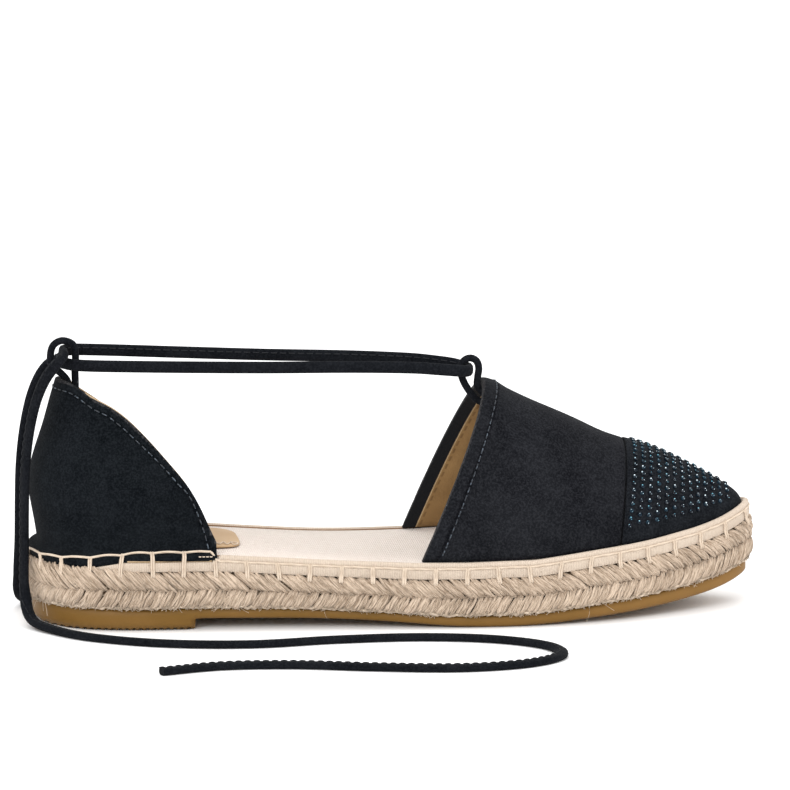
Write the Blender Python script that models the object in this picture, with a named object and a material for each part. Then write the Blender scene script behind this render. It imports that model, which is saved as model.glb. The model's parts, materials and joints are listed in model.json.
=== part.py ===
"""Ankle-tie espadrille, right shoe, in metres: +Z up, toe to +X, big toe side to +Y.

The origin is on the floor under the middle of the sole. The sole is built in layers that share one
plan outline and one side profile: gum outsole, braided jute midsole, cream edge binding and insole.
The vamp, toe cap and counter are hollow walls that stand on the insole just inside the binding.
"""

import math

import bmesh
import bpy
import numpy as np

MM = 0.001
SEAT_GAP = 0.3 * MM

# Plan of the sole
SOLE_LENGTH = 258.2 * MM
BALL_WIDTH = 77.0 * MM
HEEL_WIDTH = 62.0 * MM

# Side profile of the sole
HEEL_LIFT = 4.1 * MM
TOE_SPRING = 13.0 * MM
BREAST_FROM_BACK = 57.0 * MM
OUTSOLE_THICKNESS = 4.6 * MM
OUTSOLE_INSET = 1.5 * MM
HEEL_EDGE_ROUND = 2.2 * MM

# Jute midsole
JUTE_HEIGHT = 13.4 * MM
JUTE_ROLL = 1.0 * MM
STRAND_PITCH = 3.6 * MM
STRAND_RELIEF = 0.8 * MM
STRAND_SLANT = 0.9

# Edge binding and insole
INSOLE_THICKNESS = 5.1 * MM
BINDING_INSET = 0.5 * MM
BINDING_WIDTH = 2.6 * MM
BINDING_PROUD = 0.5 * MM
BINDING_UNDER_COUNTER = 1.5 * MM

# Heel pad on the insole
HEEL_PAD_LENGTH = 59.0 * MM
HEEL_PAD_WIDTH = 36.0 * MM
HEEL_PAD_THICKNESS = 0.8 * MM
HEEL_PAD_FROM_BACK = 16.0 * MM

# Vamp and toe cap
UPPER_INSET = BINDING_INSET + BINDING_WIDTH + SEAT_GAP
VAMP_LENGTH = 92.0 * MM
INSTEP_HEIGHT = 60.0 * MM
VAMP_WALL = 2.2 * MM
TOPLINE_SLOPE = 0.443
LEAN_ENDS_AT = 0.8
ARCH_POINTEDNESS = 1.12
RIDGE_TO_BIG_TOE = 1.5 * MM
CASING_WIDTH = 6.4 * MM
CASING_RAISED = 0.9 * MM
FOOT_FADE = 5.0
TOE_CAP_LENGTH = 42.5 * MM
TOE_CAP_THICKNESS = 0.9 * MM
TOE_CAP_PROUD = 0.2 * MM

# Counter
COUNTER_LENGTH = 61.0 * MM
COUNTER_HEIGHT = 58.8 * MM
COUNTER_WALL = 2.2 * MM
HEEL_BULGE = 3.7 * MM
BACK_LEAN = 6.5 * MM
TOP_NARROWING = 0.37
FOOT_BAND_OUT = 0.4 * MM
FOOT_BAND_ROLL = 0.4 * MM
FOOT_BAND_SHOULDER = 1.1 * MM
WALL_STARTS = 1.9 * MM

# Loops and tie
LOOP_CORD = 2.6 * MM
HEEL_LOOP_RISE = 13.6 * MM
HEEL_EYE = (2.7 * MM, 10.05 * MM)
THROAT_LOOP_RISE = 8.4 * MM
THROAT_EYE = (-5.2 * MM, 3.7 * MM)
CORD_STEP = 1.6
TIE_DIAMETER = 3.6 * MM
TIE_STACK = 3.95 * MM
TIE_PAST_LOOP = 5.0 * MM
TIE_END_STEP = 13.0 * MM

STATIONS = 34
ARCH_POINTS = 18
COUNTER_COLUMNS = 14
COUNTER_ROWS = 8


def table(columns, *rows):
    """A table's columns by name."""
    return dict(zip(columns.split(), np.array(rows, float).T))


# Half widths of the sole's plan as shares of its local width, which goes from the heel's to the ball's
PLAN = table(
    "along ball lateral medial",
    (0.012, 0.0, 0.218, 0.218),
    (0.050, 0.0, 0.405, 0.405),
    (0.120, 0.0, 0.500, 0.497),
    (0.235, 0.0, 0.515, 0.480),
    (0.390, 0.3, 0.512, 0.412),
    (0.450, 0.5, 0.510, 0.412),
    (0.520, 0.8, 0.505, 0.440),
    (0.590, 1.0, 0.503, 0.470),
    (0.660, 1.0, 0.506, 0.492),
    (0.714, 1.0, 0.494, 0.490),
    (0.756, 1.0, 0.472, 0.474),
    (0.798, 1.0, 0.437, 0.442),
    (0.841, 1.0, 0.388, 0.394),
    (0.883, 1.0, 0.325, 0.330),
    (0.926, 1.0, 0.249, 0.254),
    (0.960, 1.0, 0.181, 0.185),
    (0.983, 1.0, 0.121, 0.123),
)

# Side profile: lift of the outsole's underside, and the thickness of outsole and jute, as shares
PROFILE = table(
    "along heel toe outsole jute",
    (0.000, 1.00, 0.00, 0.87, 0.985),
    (0.237, 1.00, 0.00, 0.80, 0.985),
    (0.312, 0.97, 0.00, 0.77, 0.93),
    (0.409, 0.86, 0.00, 0.71, 0.88),
    (0.505, 0.50, 0.00, 0.70, 0.92),
    (0.575, 0.08, 0.00, 0.84, 0.985),
    (0.602, 0.00, 0.00, 0.90, 0.99),
    (0.679, 0.00, 0.00, 0.98, 0.99),
    (0.715, 0.00, 0.06, 1.00, 0.99),
    (0.756, 0.00, 0.13, 1.03, 1.00),
    (0.798, 0.00, 0.19, 1.05, 1.01),
    (0.841, 0.00, 0.27, 1.05, 1.01),
    (0.883, 0.00, 0.37, 1.05, 1.02),
    (0.926, 0.00, 0.50, 1.00, 1.04),
    (0.960, 0.00, 0.66, 0.97, 1.06),
    (0.983, 0.00, 0.84, 0.90, 1.07),
    (1.000, 0.00, 1.00, 0.80, 1.07),
)

# Ridge of the vamp above the insole, from the toe back past the topline
RIDGE = table(
    "from_toe height",
    (0.003, 0.030),
    (0.019, 0.075),
    (0.054, 0.138),
    (0.098, 0.202),
    (0.160, 0.277),
    (0.215, 0.341),
    (0.290, 0.416),
    (0.356, 0.477),
    (0.424, 0.525),
    (0.470, 0.549),
    (0.520, 0.576),
    (0.557, 0.611),
    (0.620, 0.672),
    (0.715, 0.757),
    (0.810, 0.835),
    (0.886, 0.904),
    (1.000, 0.980),
    (1.150, 1.085),
    (1.300, 1.195),
)

# Back of the counter: bulge to the back, lean to the front and narrowing, by height
HEEL_BACK = table(
    "height bulge lean narrow",
    (0.00, 0.00, 0.00, 0.00),
    (0.11, 0.25, 0.00, 0.01),
    (0.25, 0.70, 0.00, 0.05),
    (0.36, 1.00, 0.00, 0.11),
    (0.42, 0.95, 0.02, 0.15),
    (0.57, 0.55, 0.14, 0.30),
    (0.70, 0.20, 0.36, 0.50),
    (0.83, 0.00, 0.58, 0.71),
    (0.93, 0.00, 0.74, 0.88),
    (1.00, 0.00, 1.00, 1.00),
)

# Topline of the counter, from the back forward
COUNTER_TOPLINE = table(
    "forward lateral medial",
    (0.000, 1.000, 1.000),
    (0.055, 0.997, 0.985),
    (0.177, 0.950, 0.908),
    (0.275, 0.908, 0.846),
    (0.381, 0.865, 0.780),
    (0.463, 0.808, 0.714),
    (0.548, 0.738, 0.638),
    (0.657, 0.637, 0.538),
    (0.785, 0.495, 0.420),
    (0.885, 0.363, 0.308),
    (0.939, 0.233, 0.203),
    (0.967, 0.145, 0.135),
    (1.000, 0.075, 0.075),
)

# Levels of the jute: height, how far in its two rolls lie, how far its strands stand out and run back
BRAID = table(
    "height inset relief back",
    (0.00, 1.0, 0.3, 1.0),
    (0.25, 0.0, 1.0, 0.5),
    (0.50, 1.5, 0.3, 0.0),
    (0.75, 0.0, 1.0, 0.5),
    (1.00, 1.0, 0.3, 1.0),
)

# Section of the binding: share of its width inwards and share of its height
BINDING = table(
    "inward height",
    (0.06, 0.00),
    (0.00, 0.70),
    (0.22, 0.78),
    (0.10, 0.88),
    (0.45, 1.00),
    (0.90, 0.96),
    (1.00, 0.00),
)

# Heel loop from the counter's top, and throat loop from the top of the vamp's rear edge, in millimetres
HEEL_LOOP = table(
    "forward up",
    (5.9, -7.6),
    (4.6, -5.4),
    (4.6, -1.0),
    (2.4, 2.0),
    (-0.9, 4.9),
    (-1.5, 8.4),
    (-0.5, 12.2),
    (2.7, 13.9),
    (6.5, 12.4),
    (7.4, 8.4),
    (7.2, 3.7),
    (7.3, -1.0),
    (7.2, -5.4),
)
THROAT_LOOP = table(
    "forward up",
    (3.2, -7.0),
    (0.2, -5.8),
    (-2.9, -2.6),
    (-1.9, 1.0),
    (-0.9, 4.2),
    (-2.2, 7.3),
    (-5.2, 8.4),
    (-8.2, 7.0),
    (-9.3, 3.6),
    (-8.6, -0.6),
    (-6.4, -5.0),
    (-2.6, -8.6),
    (3.2, -9.4),
)

# The tie's two bars: share of the way from throat to heel, and spread and rise in millimetres
BARS = table(
    "back side up",
    (0.010, 3.8, 0.0),
    (0.035, 6.2, 0.5),
    (0.080, 7.0, 1.0),
    (0.150, 7.2, 1.5),
    (0.300, 7.3, 1.4),
    (0.500, 7.1, 0.7),
    (0.700, 6.9, 0.3),
    (0.850, 6.5, 0.1),
    (0.930, 5.9, 0.0),
    (0.975, 4.6, 0.0),
    (0.992, 2.2, 0.0),
)

# Free ends of the tie on the floor, in millimetres, each from the heel loop to its cut end
NEAR_END = (
    (-119.6, -12.0, 93.4),
    (-123.6, -12.8, 88.4),
    (-127.0, -12.2, 80.0),
    (-129.4, -11.2, 68.0),
    (-130.7, -10.6, 55.0),
    (-131.1, -10.6, 41.0),
    (-131.2, -11.0, 27.0),
    (-131.4, -13.0, 13.5),
    (-129.8, -18.4, 4.2),
    (-124.0, -29.0, 2.3),
    (-110.0, -44.5, 1.9),
    (-85.0, -57.5, 1.9),
    (-55.0, -62.0, 1.9),
    (-26.0, -57.5, 1.9),
    (3.0, -56.5, 1.9),
    (29.0, -62.5, 1.9),
    (47.0, -76.0, 1.9),
    (50.0, -93.0, 1.9),
    (36.0, -106.0, 1.9),
    (12.0, -110.5, 1.9),
    (-16.0, -106.0, 1.9),
    (-44.0, -99.0, 1.9),
    (-70.0, -98.0, 1.9),
    (-92.0, -105.0, 1.9),
)
FAR_END = (
    (-119.6, 12.0, 89.8),
    (-123.4, 12.8, 85.0),
    (-126.8, 12.2, 77.0),
    (-129.3, 11.2, 66.0),
    (-130.7, 10.6, 54.0),
    (-131.1, 10.6, 41.0),
    (-131.2, 11.0, 27.0),
    (-131.4, 13.0, 13.5),
    (-129.6, 18.6, 4.2),
    (-123.0, 29.5, 2.3),
    (-100.0, 43.5, 1.9),
    (-70.0, 50.0, 1.9),
    (-42.0, 46.5, 1.9),
    (-14.0, 48.0, 1.9),
    (10.0, 58.0, 1.9),
    (24.0, 74.0, 1.9),
    (14.0, 89.0, 1.9),
    (-10.0, 93.0, 1.9),
    (-38.0, 86.0, 1.9),
    (-66.0, 80.0, 1.9),
    (-92.0, 85.0, 1.9),
    (-108.0, 97.0, 1.9),
)


def curve_through(xs, ys, at):
    """Smooth curve through points with rising xs, level wherever its neighbours turn back or lie level."""
    secants = np.diff(ys) / np.diff(xs)
    slopes = np.gradient(ys, xs)
    slopes[1:-1][secants[1:] * secants[:-1] <= 0] = 0
    at = np.clip(at, xs[0], xs[-1])
    i = np.clip(np.searchsorted(xs, at) - 1, 0, len(xs) - 2)
    step = xs[i + 1] - xs[i]
    s = (at - xs[i]) / step
    ends = (1 + 2 * s) * (1 - s) ** 2 * ys[i] + s * s * (3 - 2 * s) * ys[i + 1]
    return ends + step * (s * (1 - s) ** 2 * slopes[i] - s * s * (1 - s) * slopes[i + 1])


def turn_of(along):
    """Half turn of the outline, 0 at the heel and 1 at the toe, which spaces points closely at both."""
    return np.arccos(np.clip(1 - 2 * np.asarray(along), -1, 1)) / math.pi


def along_of(turn):
    return (1 - np.cos(math.pi * np.asarray(turn))) / 2


def x_of(along):
    return SOLE_LENGTH * (np.asarray(along) - 0.5)


def along_at(x):
    return np.asarray(x) / SOLE_LENGTH + 0.5


def profile(column, x):
    return curve_through(PROFILE["along"], PROFILE[column], along_at(x))


def outsole_bottom(x):
    return HEEL_LIFT * profile("heel", x) + TOE_SPRING * profile("toe", x)


def outsole_top(x):
    return outsole_bottom(x) + OUTSOLE_THICKNESS * profile("outsole", x)


def jute_bottom(x):
    return outsole_top(x) + SEAT_GAP


def jute_top(x):
    return jute_bottom(x) + JUTE_HEIGHT * profile("jute", x)


def insole_bottom(x):
    return jute_top(x) + SEAT_GAP


def insole_top(x):
    return insole_bottom(x) + INSOLE_THICKNESS


def upper_foot(x):
    return insole_top(x) + SEAT_GAP


def outline(turns):
    """Points of the sole's plan at signed turns: below 0 on the little toe side, above 0 on the big toe side."""
    rows = turn_of(PLAN["along"])
    width = HEEL_WIDTH + (BALL_WIDTH - HEEL_WIDTH) * PLAN["ball"]
    lateral, medial = -PLAN["lateral"] * width, PLAN["medial"] * width
    xs = np.concatenate([rows[-2:] - 2, [-1], -rows[::-1], [0], rows, [1], 2 - rows[:-3:-1]])
    ys = np.concatenate([medial[-2:], [0], lateral[::-1], [0], medial, [0], lateral[:-3:-1]])
    return np.stack([x_of(along_of(np.abs(turns))), curve_through(xs, ys, turns)], axis=-1)


def inward(points):
    """Unit normals of a closed plan, pointing into it."""
    tangent = np.roll(points, -1, axis=0) - np.roll(points, 1, axis=0)
    normal = np.stack([tangent[:, 1], -tangent[:, 0]], axis=-1)
    return normal / np.linalg.norm(normal, axis=1, keepdims=True)


FINE_TURNS = np.linspace(-1, 1, 1201)[:-1]
FINE_OUTLINE = outline(FINE_TURNS)
FINE_INWARD = inward(FINE_OUTLINE)


def plan_at(turns, inset):
    """Plan points at signed turns, moved into the sole by an inset."""
    across = [np.interp(turns, FINE_TURNS, FINE_INWARD[:, k], period=2) for k in (0, 1)]
    return outline(turns) + np.stack(across, axis=-1) * np.asarray(inset)


def ring_turns(stations):
    """Signed turns of a closed ring: toe, little toe side, heel, big toe side."""
    return np.concatenate([-stations[::-1], stations[1:-1]])


def half_widths(inset):
    """Both half widths of the plan at an inset, as functions of x."""
    points = FINE_OUTLINE + FINE_INWARD * inset
    half = len(points) // 2
    lateral, medial = points[: half + 1][::-1], np.vstack([points[half:], points[:1]])
    return (
        lambda x: np.interp(x, lateral[:, 0], -lateral[:, 1]),
        lambda x: np.interp(x, medial[:, 0], medial[:, 1]),
    )


def turn_at_x(x, inset=0.0):
    """Turn at which the inset plan reaches x on the little toe side."""
    half = len(FINE_TURNS) // 2 + 1
    points = (FINE_OUTLINE + FINE_INWARD * inset)[:half][::-1]
    return float(np.interp(x, points[:, 0], -FINE_TURNS[:half][::-1]))


def material(name, colour, roughness):
    made = bpy.data.materials.new(name)
    made.use_nodes = True
    shader = made.node_tree.nodes["Principled BSDF"]
    shader.inputs["Base Color"].default_value = (*colour, 1)
    shader.inputs["Roughness"].default_value = roughness
    return made


def place(name, data, finish):
    data.materials.append(finish)
    made = bpy.data.objects.new(name, data)
    bpy.context.scene.collection.objects.link(made)
    return made


def mesh_object(name, bm, finish):
    """Closes a bmesh into an object with its faces pointing out."""
    bmesh.ops.remove_doubles(bm, verts=bm.verts, dist=0.001 * MM)
    bmesh.ops.recalc_face_normals(bm, faces=bm.faces)
    data = bpy.data.meshes.new(name)
    bm.to_mesh(data)
    bm.free()
    data.shade_smooth()
    data.set_sharp_from_angle(angle=math.radians(35))
    return place(name, data, finish)


def skin(bm, loops, closed):
    """Faces between neighbouring loops of points. A closed run also joins its last loop to its first."""
    rows = [[bm.verts.new(point) for point in loop] for loop in loops]
    runs = zip(rows, rows[1:] + rows[:1]) if closed else zip(rows, rows[1:])
    for low, high in runs:
        for j in range(len(low)):
            k = (j + 1) % len(low)
            bm.faces.new((low[j], low[k], high[k], high[j]))
    return rows


def cap(bm, row):
    """Faces across a loop whose points pair up from its two ends."""
    last = len(row) - 1
    for j in range(len(row) // 2 - 1):
        bm.faces.new((row[j], row[j + 1], row[last - 1 - j], row[last - j]))


def cap_ring(bm, row):
    """Faces across a ring that starts at the toe and has its heel point half way."""
    for j in range(len(row) // 2):
        corners = (row[j], row[j + 1], row[-1 - j], row[-j])
        bm.faces.new(tuple(dict.fromkeys(corners)))


def at_height(plan, z):
    return np.column_stack([plan, np.broadcast_to(z, len(plan))])


def stations_with(*extra):
    """Even turns along each side, with extra ones for edges that cross the sole."""
    even = np.linspace(0, 1, STATIONS)
    nearest = 0.4 / STATIONS
    kept = [t for t in even if min(abs(t - e) for e in extra) > nearest or t in (0, 1)]
    return np.array(sorted([*kept, *extra]))


def outsole(finish):
    """Thin plate with toe spring and waist. Its heel faces are extruded down to the floor as the block."""
    breast = BREAST_FROM_BACK - SOLE_LENGTH / 2
    turns = ring_turns(stations_with(turn_at_x(breast, OUTSOLE_INSET)))
    plan = plan_at(turns, OUTSOLE_INSET)
    bm = bmesh.new()
    plate = [at_height(plan, outsole_bottom(plan[:, 0])), at_height(plan, outsole_top(plan[:, 0]))]
    low, high = skin(bm, plate, closed=False)
    cap_ring(bm, low)
    cap_ring(bm, high)
    heel = [
        face
        for face in bm.faces
        if all(vert in low for vert in face.verts) and face.calc_center_median().x < breast
    ]
    foot = plan_at(turns, OUTSOLE_INSET + HEEL_EDGE_ROUND)
    for z, edge in ((HEEL_EDGE_ROUND, plan), (0.0, foot)):
        places = {tuple(round(c, 7) for c in old.co[:2]): new for old, new in zip(low, edge)}
        made = bmesh.ops.extrude_face_region(bm, geom=heel)["geom"]
        bmesh.ops.delete(bm, geom=heel, context="FACES_ONLY")
        heel = [g for g in made if isinstance(g, bmesh.types.BMFace)]
        verts = [g for g in made if isinstance(g, bmesh.types.BMVert)]
        for vert in verts:
            x, y = places[tuple(round(c, 7) for c in vert.co[:2])]
            front = abs(vert.co.x - breast) < SEAT_GAP
            vert.co = (vert.co.x if front else x, y, z)
    return mesh_object("outsole", bm, finish)


def jute_midsole(finish):
    """Solid jute with two braided rows round its edge, their strands raised and meeting in a groove."""
    steps = np.linalg.norm(np.diff(FINE_OUTLINE, axis=0, append=FINE_OUTLINE[:1]), axis=1)
    run = np.concatenate([[0], np.cumsum(steps)])
    strands = 2 * round(run[-1] / STRAND_PITCH / 2)
    marks = np.linspace(0, run[-1], 2 * strands, endpoint=False)
    rings = []
    for height, inset, relief, back in zip(*BRAID.values()):
        shift = back * STRAND_SLANT * JUTE_HEIGHT / 2
        turns = np.interp((marks + shift) % run[-1], run, np.append(FINE_TURNS, 1))
        depth = np.where(np.arange(2 * strands) % 2, STRAND_RELIEF * relief, 0)
        plan = plan_at(turns, (inset * JUTE_ROLL + depth)[:, None])
        low, high = jute_bottom(plan[:, 0]), jute_top(plan[:, 0])
        rings.append(at_height(plan, low + height * (high - low)))
    bm = bmesh.new()
    rows = skin(bm, rings, closed=False)
    cap_ring(bm, rows[0])
    cap_ring(bm, rows[-1])
    return mesh_object("jute_midsole", bm, finish)


def counter_front():
    """x of the front end of the counter's foot band."""
    return -SOLE_LENGTH / 2 + UPPER_INSET + COUNTER_LENGTH


def edge_binding(finish):
    """Ribbed tape round the sole's edge with a rolled top, cut low where the counter's foot laps over it."""
    end = counter_front() + 2 * SEAT_GAP
    turns = ring_turns(stations_with(turn_at_x(end), turn_at_x(end + 2 * SEAT_GAP)))
    loops = []
    for inward_share, height in zip(*BINDING.values()):
        plan = plan_at(turns, BINDING_INSET + inward_share * BINDING_WIDTH)
        x = plan_at(turns, 0)[:, 0]
        base = insole_bottom(x)
        full = INSOLE_THICKNESS + BINDING_PROUD
        tall = np.where(x < end + SEAT_GAP, BINDING_UNDER_COUNTER, full)
        loops.append(at_height(plan, base + height * tall))
    bm = bmesh.new()
    skin(bm, loops, closed=True)
    return mesh_object("edge_binding", bm, finish)


def insole(finish):
    turns = ring_turns(stations_with(turn_at_x(counter_front())))
    plan = plan_at(turns, UPPER_INSET)
    x = plan[:, 0]
    bm = bmesh.new()
    low, high = skin(bm, [at_height(plan, insole_bottom(x)), at_height(plan, insole_top(x))], closed=False)
    cap_ring(bm, low)
    cap_ring(bm, high)
    return mesh_object("insole", bm, finish)


def heel_pad(finish):
    """Thin sock pad with rounded corners, glued on the insole's heel."""
    points = 40
    squareness = 4.5
    middle = -SOLE_LENGTH / 2 + HEEL_PAD_FROM_BACK + HEEL_PAD_LENGTH / 2
    angle = np.linspace(0, 2 * math.pi, points, endpoint=False)
    bend = 2 / squareness
    x = middle + HEEL_PAD_LENGTH / 2 * np.sign(np.cos(angle)) * np.abs(np.cos(angle)) ** bend
    y = -HEEL_PAD_WIDTH / 2 * np.sign(np.sin(angle)) * np.abs(np.sin(angle)) ** bend
    plan = np.stack([x, y], axis=-1)
    low = upper_foot(x)
    bm = bmesh.new()
    rows = skin(bm, [at_height(plan, low), at_height(plan, low + HEEL_PAD_THICKNESS)], closed=False)
    cap_ring(bm, rows[0])
    cap_ring(bm, rows[1])
    return mesh_object("heel_pad", bm, finish)


def toe_tip():
    return SOLE_LENGTH / 2 - UPPER_INSET


def topline_x():
    """x of the top of the vamp's rear edge."""
    return toe_tip() - VAMP_LENGTH


def ridge_curve(depth):
    """The vamp's ridge in side view, as rising x and z, moved into the shoe by a depth."""
    root = np.linspace(0, math.sqrt(RIDGE["from_toe"][-1]), 160)
    rows = np.concatenate([[0], np.sqrt(RIDGE["from_toe"])])
    heights = np.concatenate([[0], RIDGE["height"]])
    x = toe_tip() - VAMP_LENGTH * root**2
    z = upper_foot(x) + INSTEP_HEIGHT * curve_through(rows, heights, root)
    tangent = np.gradient(np.stack([x, z], axis=-1), axis=0)
    tangent[0] = (0, 1)
    normal = np.stack([-tangent[:, 1], tangent[:, 0]], axis=-1)
    normal /= np.linalg.norm(normal, axis=1, keepdims=True)
    moved = np.stack([x, z], axis=-1) + normal * depth
    return moved[::-1, 0], moved[::-1, 1]


def vamp_section(forward, depth):
    """One arch of the upper's form at a depth inside it, on a section that leans as the topline does.

    forward goes from 0 at the topline to 1 at the toe.
    """
    ridge_x, ridge_z = ridge_curve(depth)
    outer_x, outer_z = ridge_curve(0)
    moved_edges = half_widths(UPPER_INSET + depth)
    at = topline_x() + forward * VAMP_LENGTH
    lean = TOPLINE_SLOPE * max(0, 1 - forward / LEAN_ENDS_AT)
    top = np.interp(at, outer_x, outer_z)
    at -= depth * forward**6
    angle = np.linspace(0, math.pi, ARCH_POINTS + 1)
    side, rise = np.cos(angle), np.sin(angle) ** ARCH_POINTEDNESS
    raised = np.minimum(1, FOOT_FADE * rise) if depth < 0 else 1
    x = np.full(len(angle), at)
    for _ in range(12):
        z = upper_foot(x) + (np.interp(x, ridge_x, ridge_z) - upper_foot(x)) * rise
        x = at - lean * (top - z)
    middle = RIDGE_TO_BIG_TOE * (1 - forward)
    edge = half_widths(UPPER_INSET)
    halves = [at_edge(x) + (moved(x) - at_edge(x)) * raised for at_edge, moved in zip(edge, moved_edges)]
    half = np.where(side > 0, halves[0] + middle, halves[1] - middle)
    return np.column_stack([x, middle - side * half, z])


def arch_loop(forward, outer, inner):
    """Closed loop of one section of a wall: its outer arch out, its inner arch back."""
    return np.vstack([vamp_section(forward, outer), vamp_section(forward, inner)[::-1]])


def seam_share():
    return 1 - TOE_CAP_LENGTH / VAMP_LENGTH


def vamp(finish):
    """Hollow front with a raised casing along its rear edge, thinned under the toe cap."""
    band = CASING_WIDTH / VAMP_LENGTH
    step = CASING_RAISED / VAMP_LENGTH
    seam = seam_share()
    under = TOE_CAP_THICKNESS - TOE_CAP_PROUD + SEAT_GAP
    rows = [(0.0, -0.4 * CASING_RAISED), (0.2 * band, -CASING_RAISED), (0.8 * band, -CASING_RAISED)]
    rows += [(band + step, 0.0)]
    rows += [(share, 0.0) for share in np.linspace(band + step, seam, 7)[1:]]
    rows += [(seam + SEAT_GAP / VAMP_LENGTH, under)]
    rows += [(seam + (1 - seam) * math.sin(share * math.pi / 2), under) for share in np.linspace(0.1, 1, 10)]
    bm = bmesh.new()
    loops = [arch_loop(share, depth, VAMP_WALL) for share, depth in rows]
    cap(bm, skin(bm, loops, closed=False)[0])
    return mesh_object("vamp", bm, finish)


def toe_cap(finish):
    """Overlay from the cross seam to the toe, cut from the vamp's own form."""
    start = seam_share() + 2.5 * SEAT_GAP / VAMP_LENGTH
    shares = start + (1 - start) * np.sin(np.linspace(0, 1, 11) * math.pi / 2)
    bm = bmesh.new()
    depths = -TOE_CAP_PROUD, TOE_CAP_THICKNESS - TOE_CAP_PROUD
    cap(bm, skin(bm, [arch_loop(share, *depths) for share in shares], closed=False)[0])
    return mesh_object("toe_cap", bm, finish)


def counter_wall(turns):
    """Outer face of the counter's wall: a column of points for each signed turn, from foot to topline."""
    foot = plan_at(turns, UPPER_INSET)
    back = -SOLE_LENGTH / 2 + UPPER_INSET
    forward = np.clip((foot[:, 0] - back) / COUNTER_LENGTH, 0, 1)
    lateral = curve_through(COUNTER_TOPLINE["forward"], COUNTER_TOPLINE["lateral"], forward)
    medial = curve_through(COUNTER_TOPLINE["forward"], COUNTER_TOPLINE["medial"], forward)
    lowest = WALL_STARTS / COUNTER_HEIGHT
    rise = np.where(turns < 0, lateral, medial) - lowest
    height = lowest + rise * np.linspace(0, 1, COUNTER_ROWS)[:, None]
    shape = {key: curve_through(HEEL_BACK["height"], HEEL_BACK[key], height) for key in HEEL_BACK}
    fade = 1 - 0.9 * forward
    x = foot[:, 0] + (BACK_LEAN * shape["lean"] - HEEL_BULGE * shape["bulge"]) * fade
    y = foot[:, 1] * (1 - TOP_NARROWING * shape["narrow"])
    z = upper_foot(foot[:, 0]) + COUNTER_HEIGHT * height
    return np.stack([x, y, z], axis=-1)


def counter(finish):
    """Hollow heel piece, open at its top and front, with a foot band that laps over the sole's edge."""
    share = np.linspace(0, 1, COUNTER_COLUMNS + 1)
    side = turn_at_x(counter_front(), UPPER_INSET) * (1 - (1 - share) ** 1.6)
    turns = np.concatenate([-side[::-1], side[1:]])
    wall = counter_wall(turns)
    across = np.gradient(wall, axis=1)
    up = np.gradient(wall, axis=0)
    normal = np.cross(across, up)
    normal /= np.linalg.norm(normal, axis=2, keepdims=True)
    middle = np.array([counter_front(), 0, 0])
    inwards = np.sign(np.sum(normal * (middle - wall) * (1, 1, 0), axis=2, keepdims=True))
    inner = wall + COUNTER_WALL * normal * inwards
    inner[:, :, 2] = wall[:, :, 2]
    x = plan_at(turns, 0)[:, 0]
    low = insole_bottom(x) + BINDING_UNDER_COUNTER + SEAT_GAP
    seat = upper_foot(x)
    tuck = BINDING_INSET + BINDING_WIDTH
    outer_foot = [
        at_height(plan_at(turns, FOOT_BAND_OUT), low),
        at_height(plan_at(turns, FOOT_BAND_OUT - FOOT_BAND_ROLL), (low + seat) / 2),
        at_height(plan_at(turns, FOOT_BAND_OUT), seat),
        at_height(plan_at(turns, UPPER_INSET - FOOT_BAND_ROLL), seat + FOOT_BAND_SHOULDER),
    ]
    inner_foot = [
        at_height(plan_at(turns, tuck), low),
        at_height(plan_at(turns, tuck), (low + seat) / 2),
        at_height(plan_at(turns, tuck), seat),
        at_height(plan_at(turns, UPPER_INSET + COUNTER_WALL), seat),
    ]
    outside, inside = [*outer_foot, *wall], [*inner_foot, *inner]
    loops = [[row[i] for row in outside] + [row[i] for row in inside[::-1]] for i in range(len(turns))]
    bm = bmesh.new()
    rows = skin(bm, loops, closed=False)
    cap(bm, rows[0])
    cap(bm, rows[-1])
    return mesh_object("counter", bm, finish)


def smooth_route(points, step, cyclic=False):
    """Points a step apart on a smooth curve through a route."""
    points = np.array(points)
    ends = [points[-1], *points, points[0], points[1]] if cyclic else [points[0], *points, points[-1]]
    fine = []
    for a, b, c, d in zip(ends, ends[1:], ends[2:], ends[3:]):
        s = np.linspace(0, 1, 24, endpoint=False)[:, None]
        fine.append(
            0.5
            * (2 * b + (c - a) * s + (2 * a - 5 * b + 4 * c - d) * s**2 + (3 * b - a - 3 * c + d) * s**3)
        )
    fine = np.vstack([*fine, ends[-2][None] if cyclic else points[-1:]])
    run = np.concatenate([[0], np.cumsum(np.linalg.norm(np.diff(fine, axis=0), axis=1))])
    marks = np.linspace(0, run[-1], round(run[-1] / step) + 1)
    even = np.stack([np.interp(marks, run, fine[:, k]) for k in range(3)], axis=-1)
    return even[:-1] if cyclic else even


def cord(name, points, diameter, finish, cyclic=False):
    """Round cord along a line of points."""
    data = bpy.data.curves.new(name, "CURVE")
    data.dimensions = "3D"
    data.bevel_depth = diameter / 2
    data.bevel_resolution = 2
    data.use_fill_caps = not cyclic
    spline = data.splines.new("POLY")
    spline.points.add(len(points) - 1)
    for spot, point in zip(spline.points, points):
        spot.co = (*point, 1)
    spline.use_cyclic_u = cyclic
    return place(name, data, finish)


def counter_top():
    """x and z of the top of the counter at its back."""
    x = -SOLE_LENGTH / 2 + UPPER_INSET + BACK_LEAN
    return x, float(upper_foot(-SOLE_LENGTH / 2)) + COUNTER_HEIGHT


def vamp_top():
    """x and z of the top of the vamp's rear edge."""
    x = topline_x()
    return x, float(np.interp(x, *ridge_curve(0)))


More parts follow.
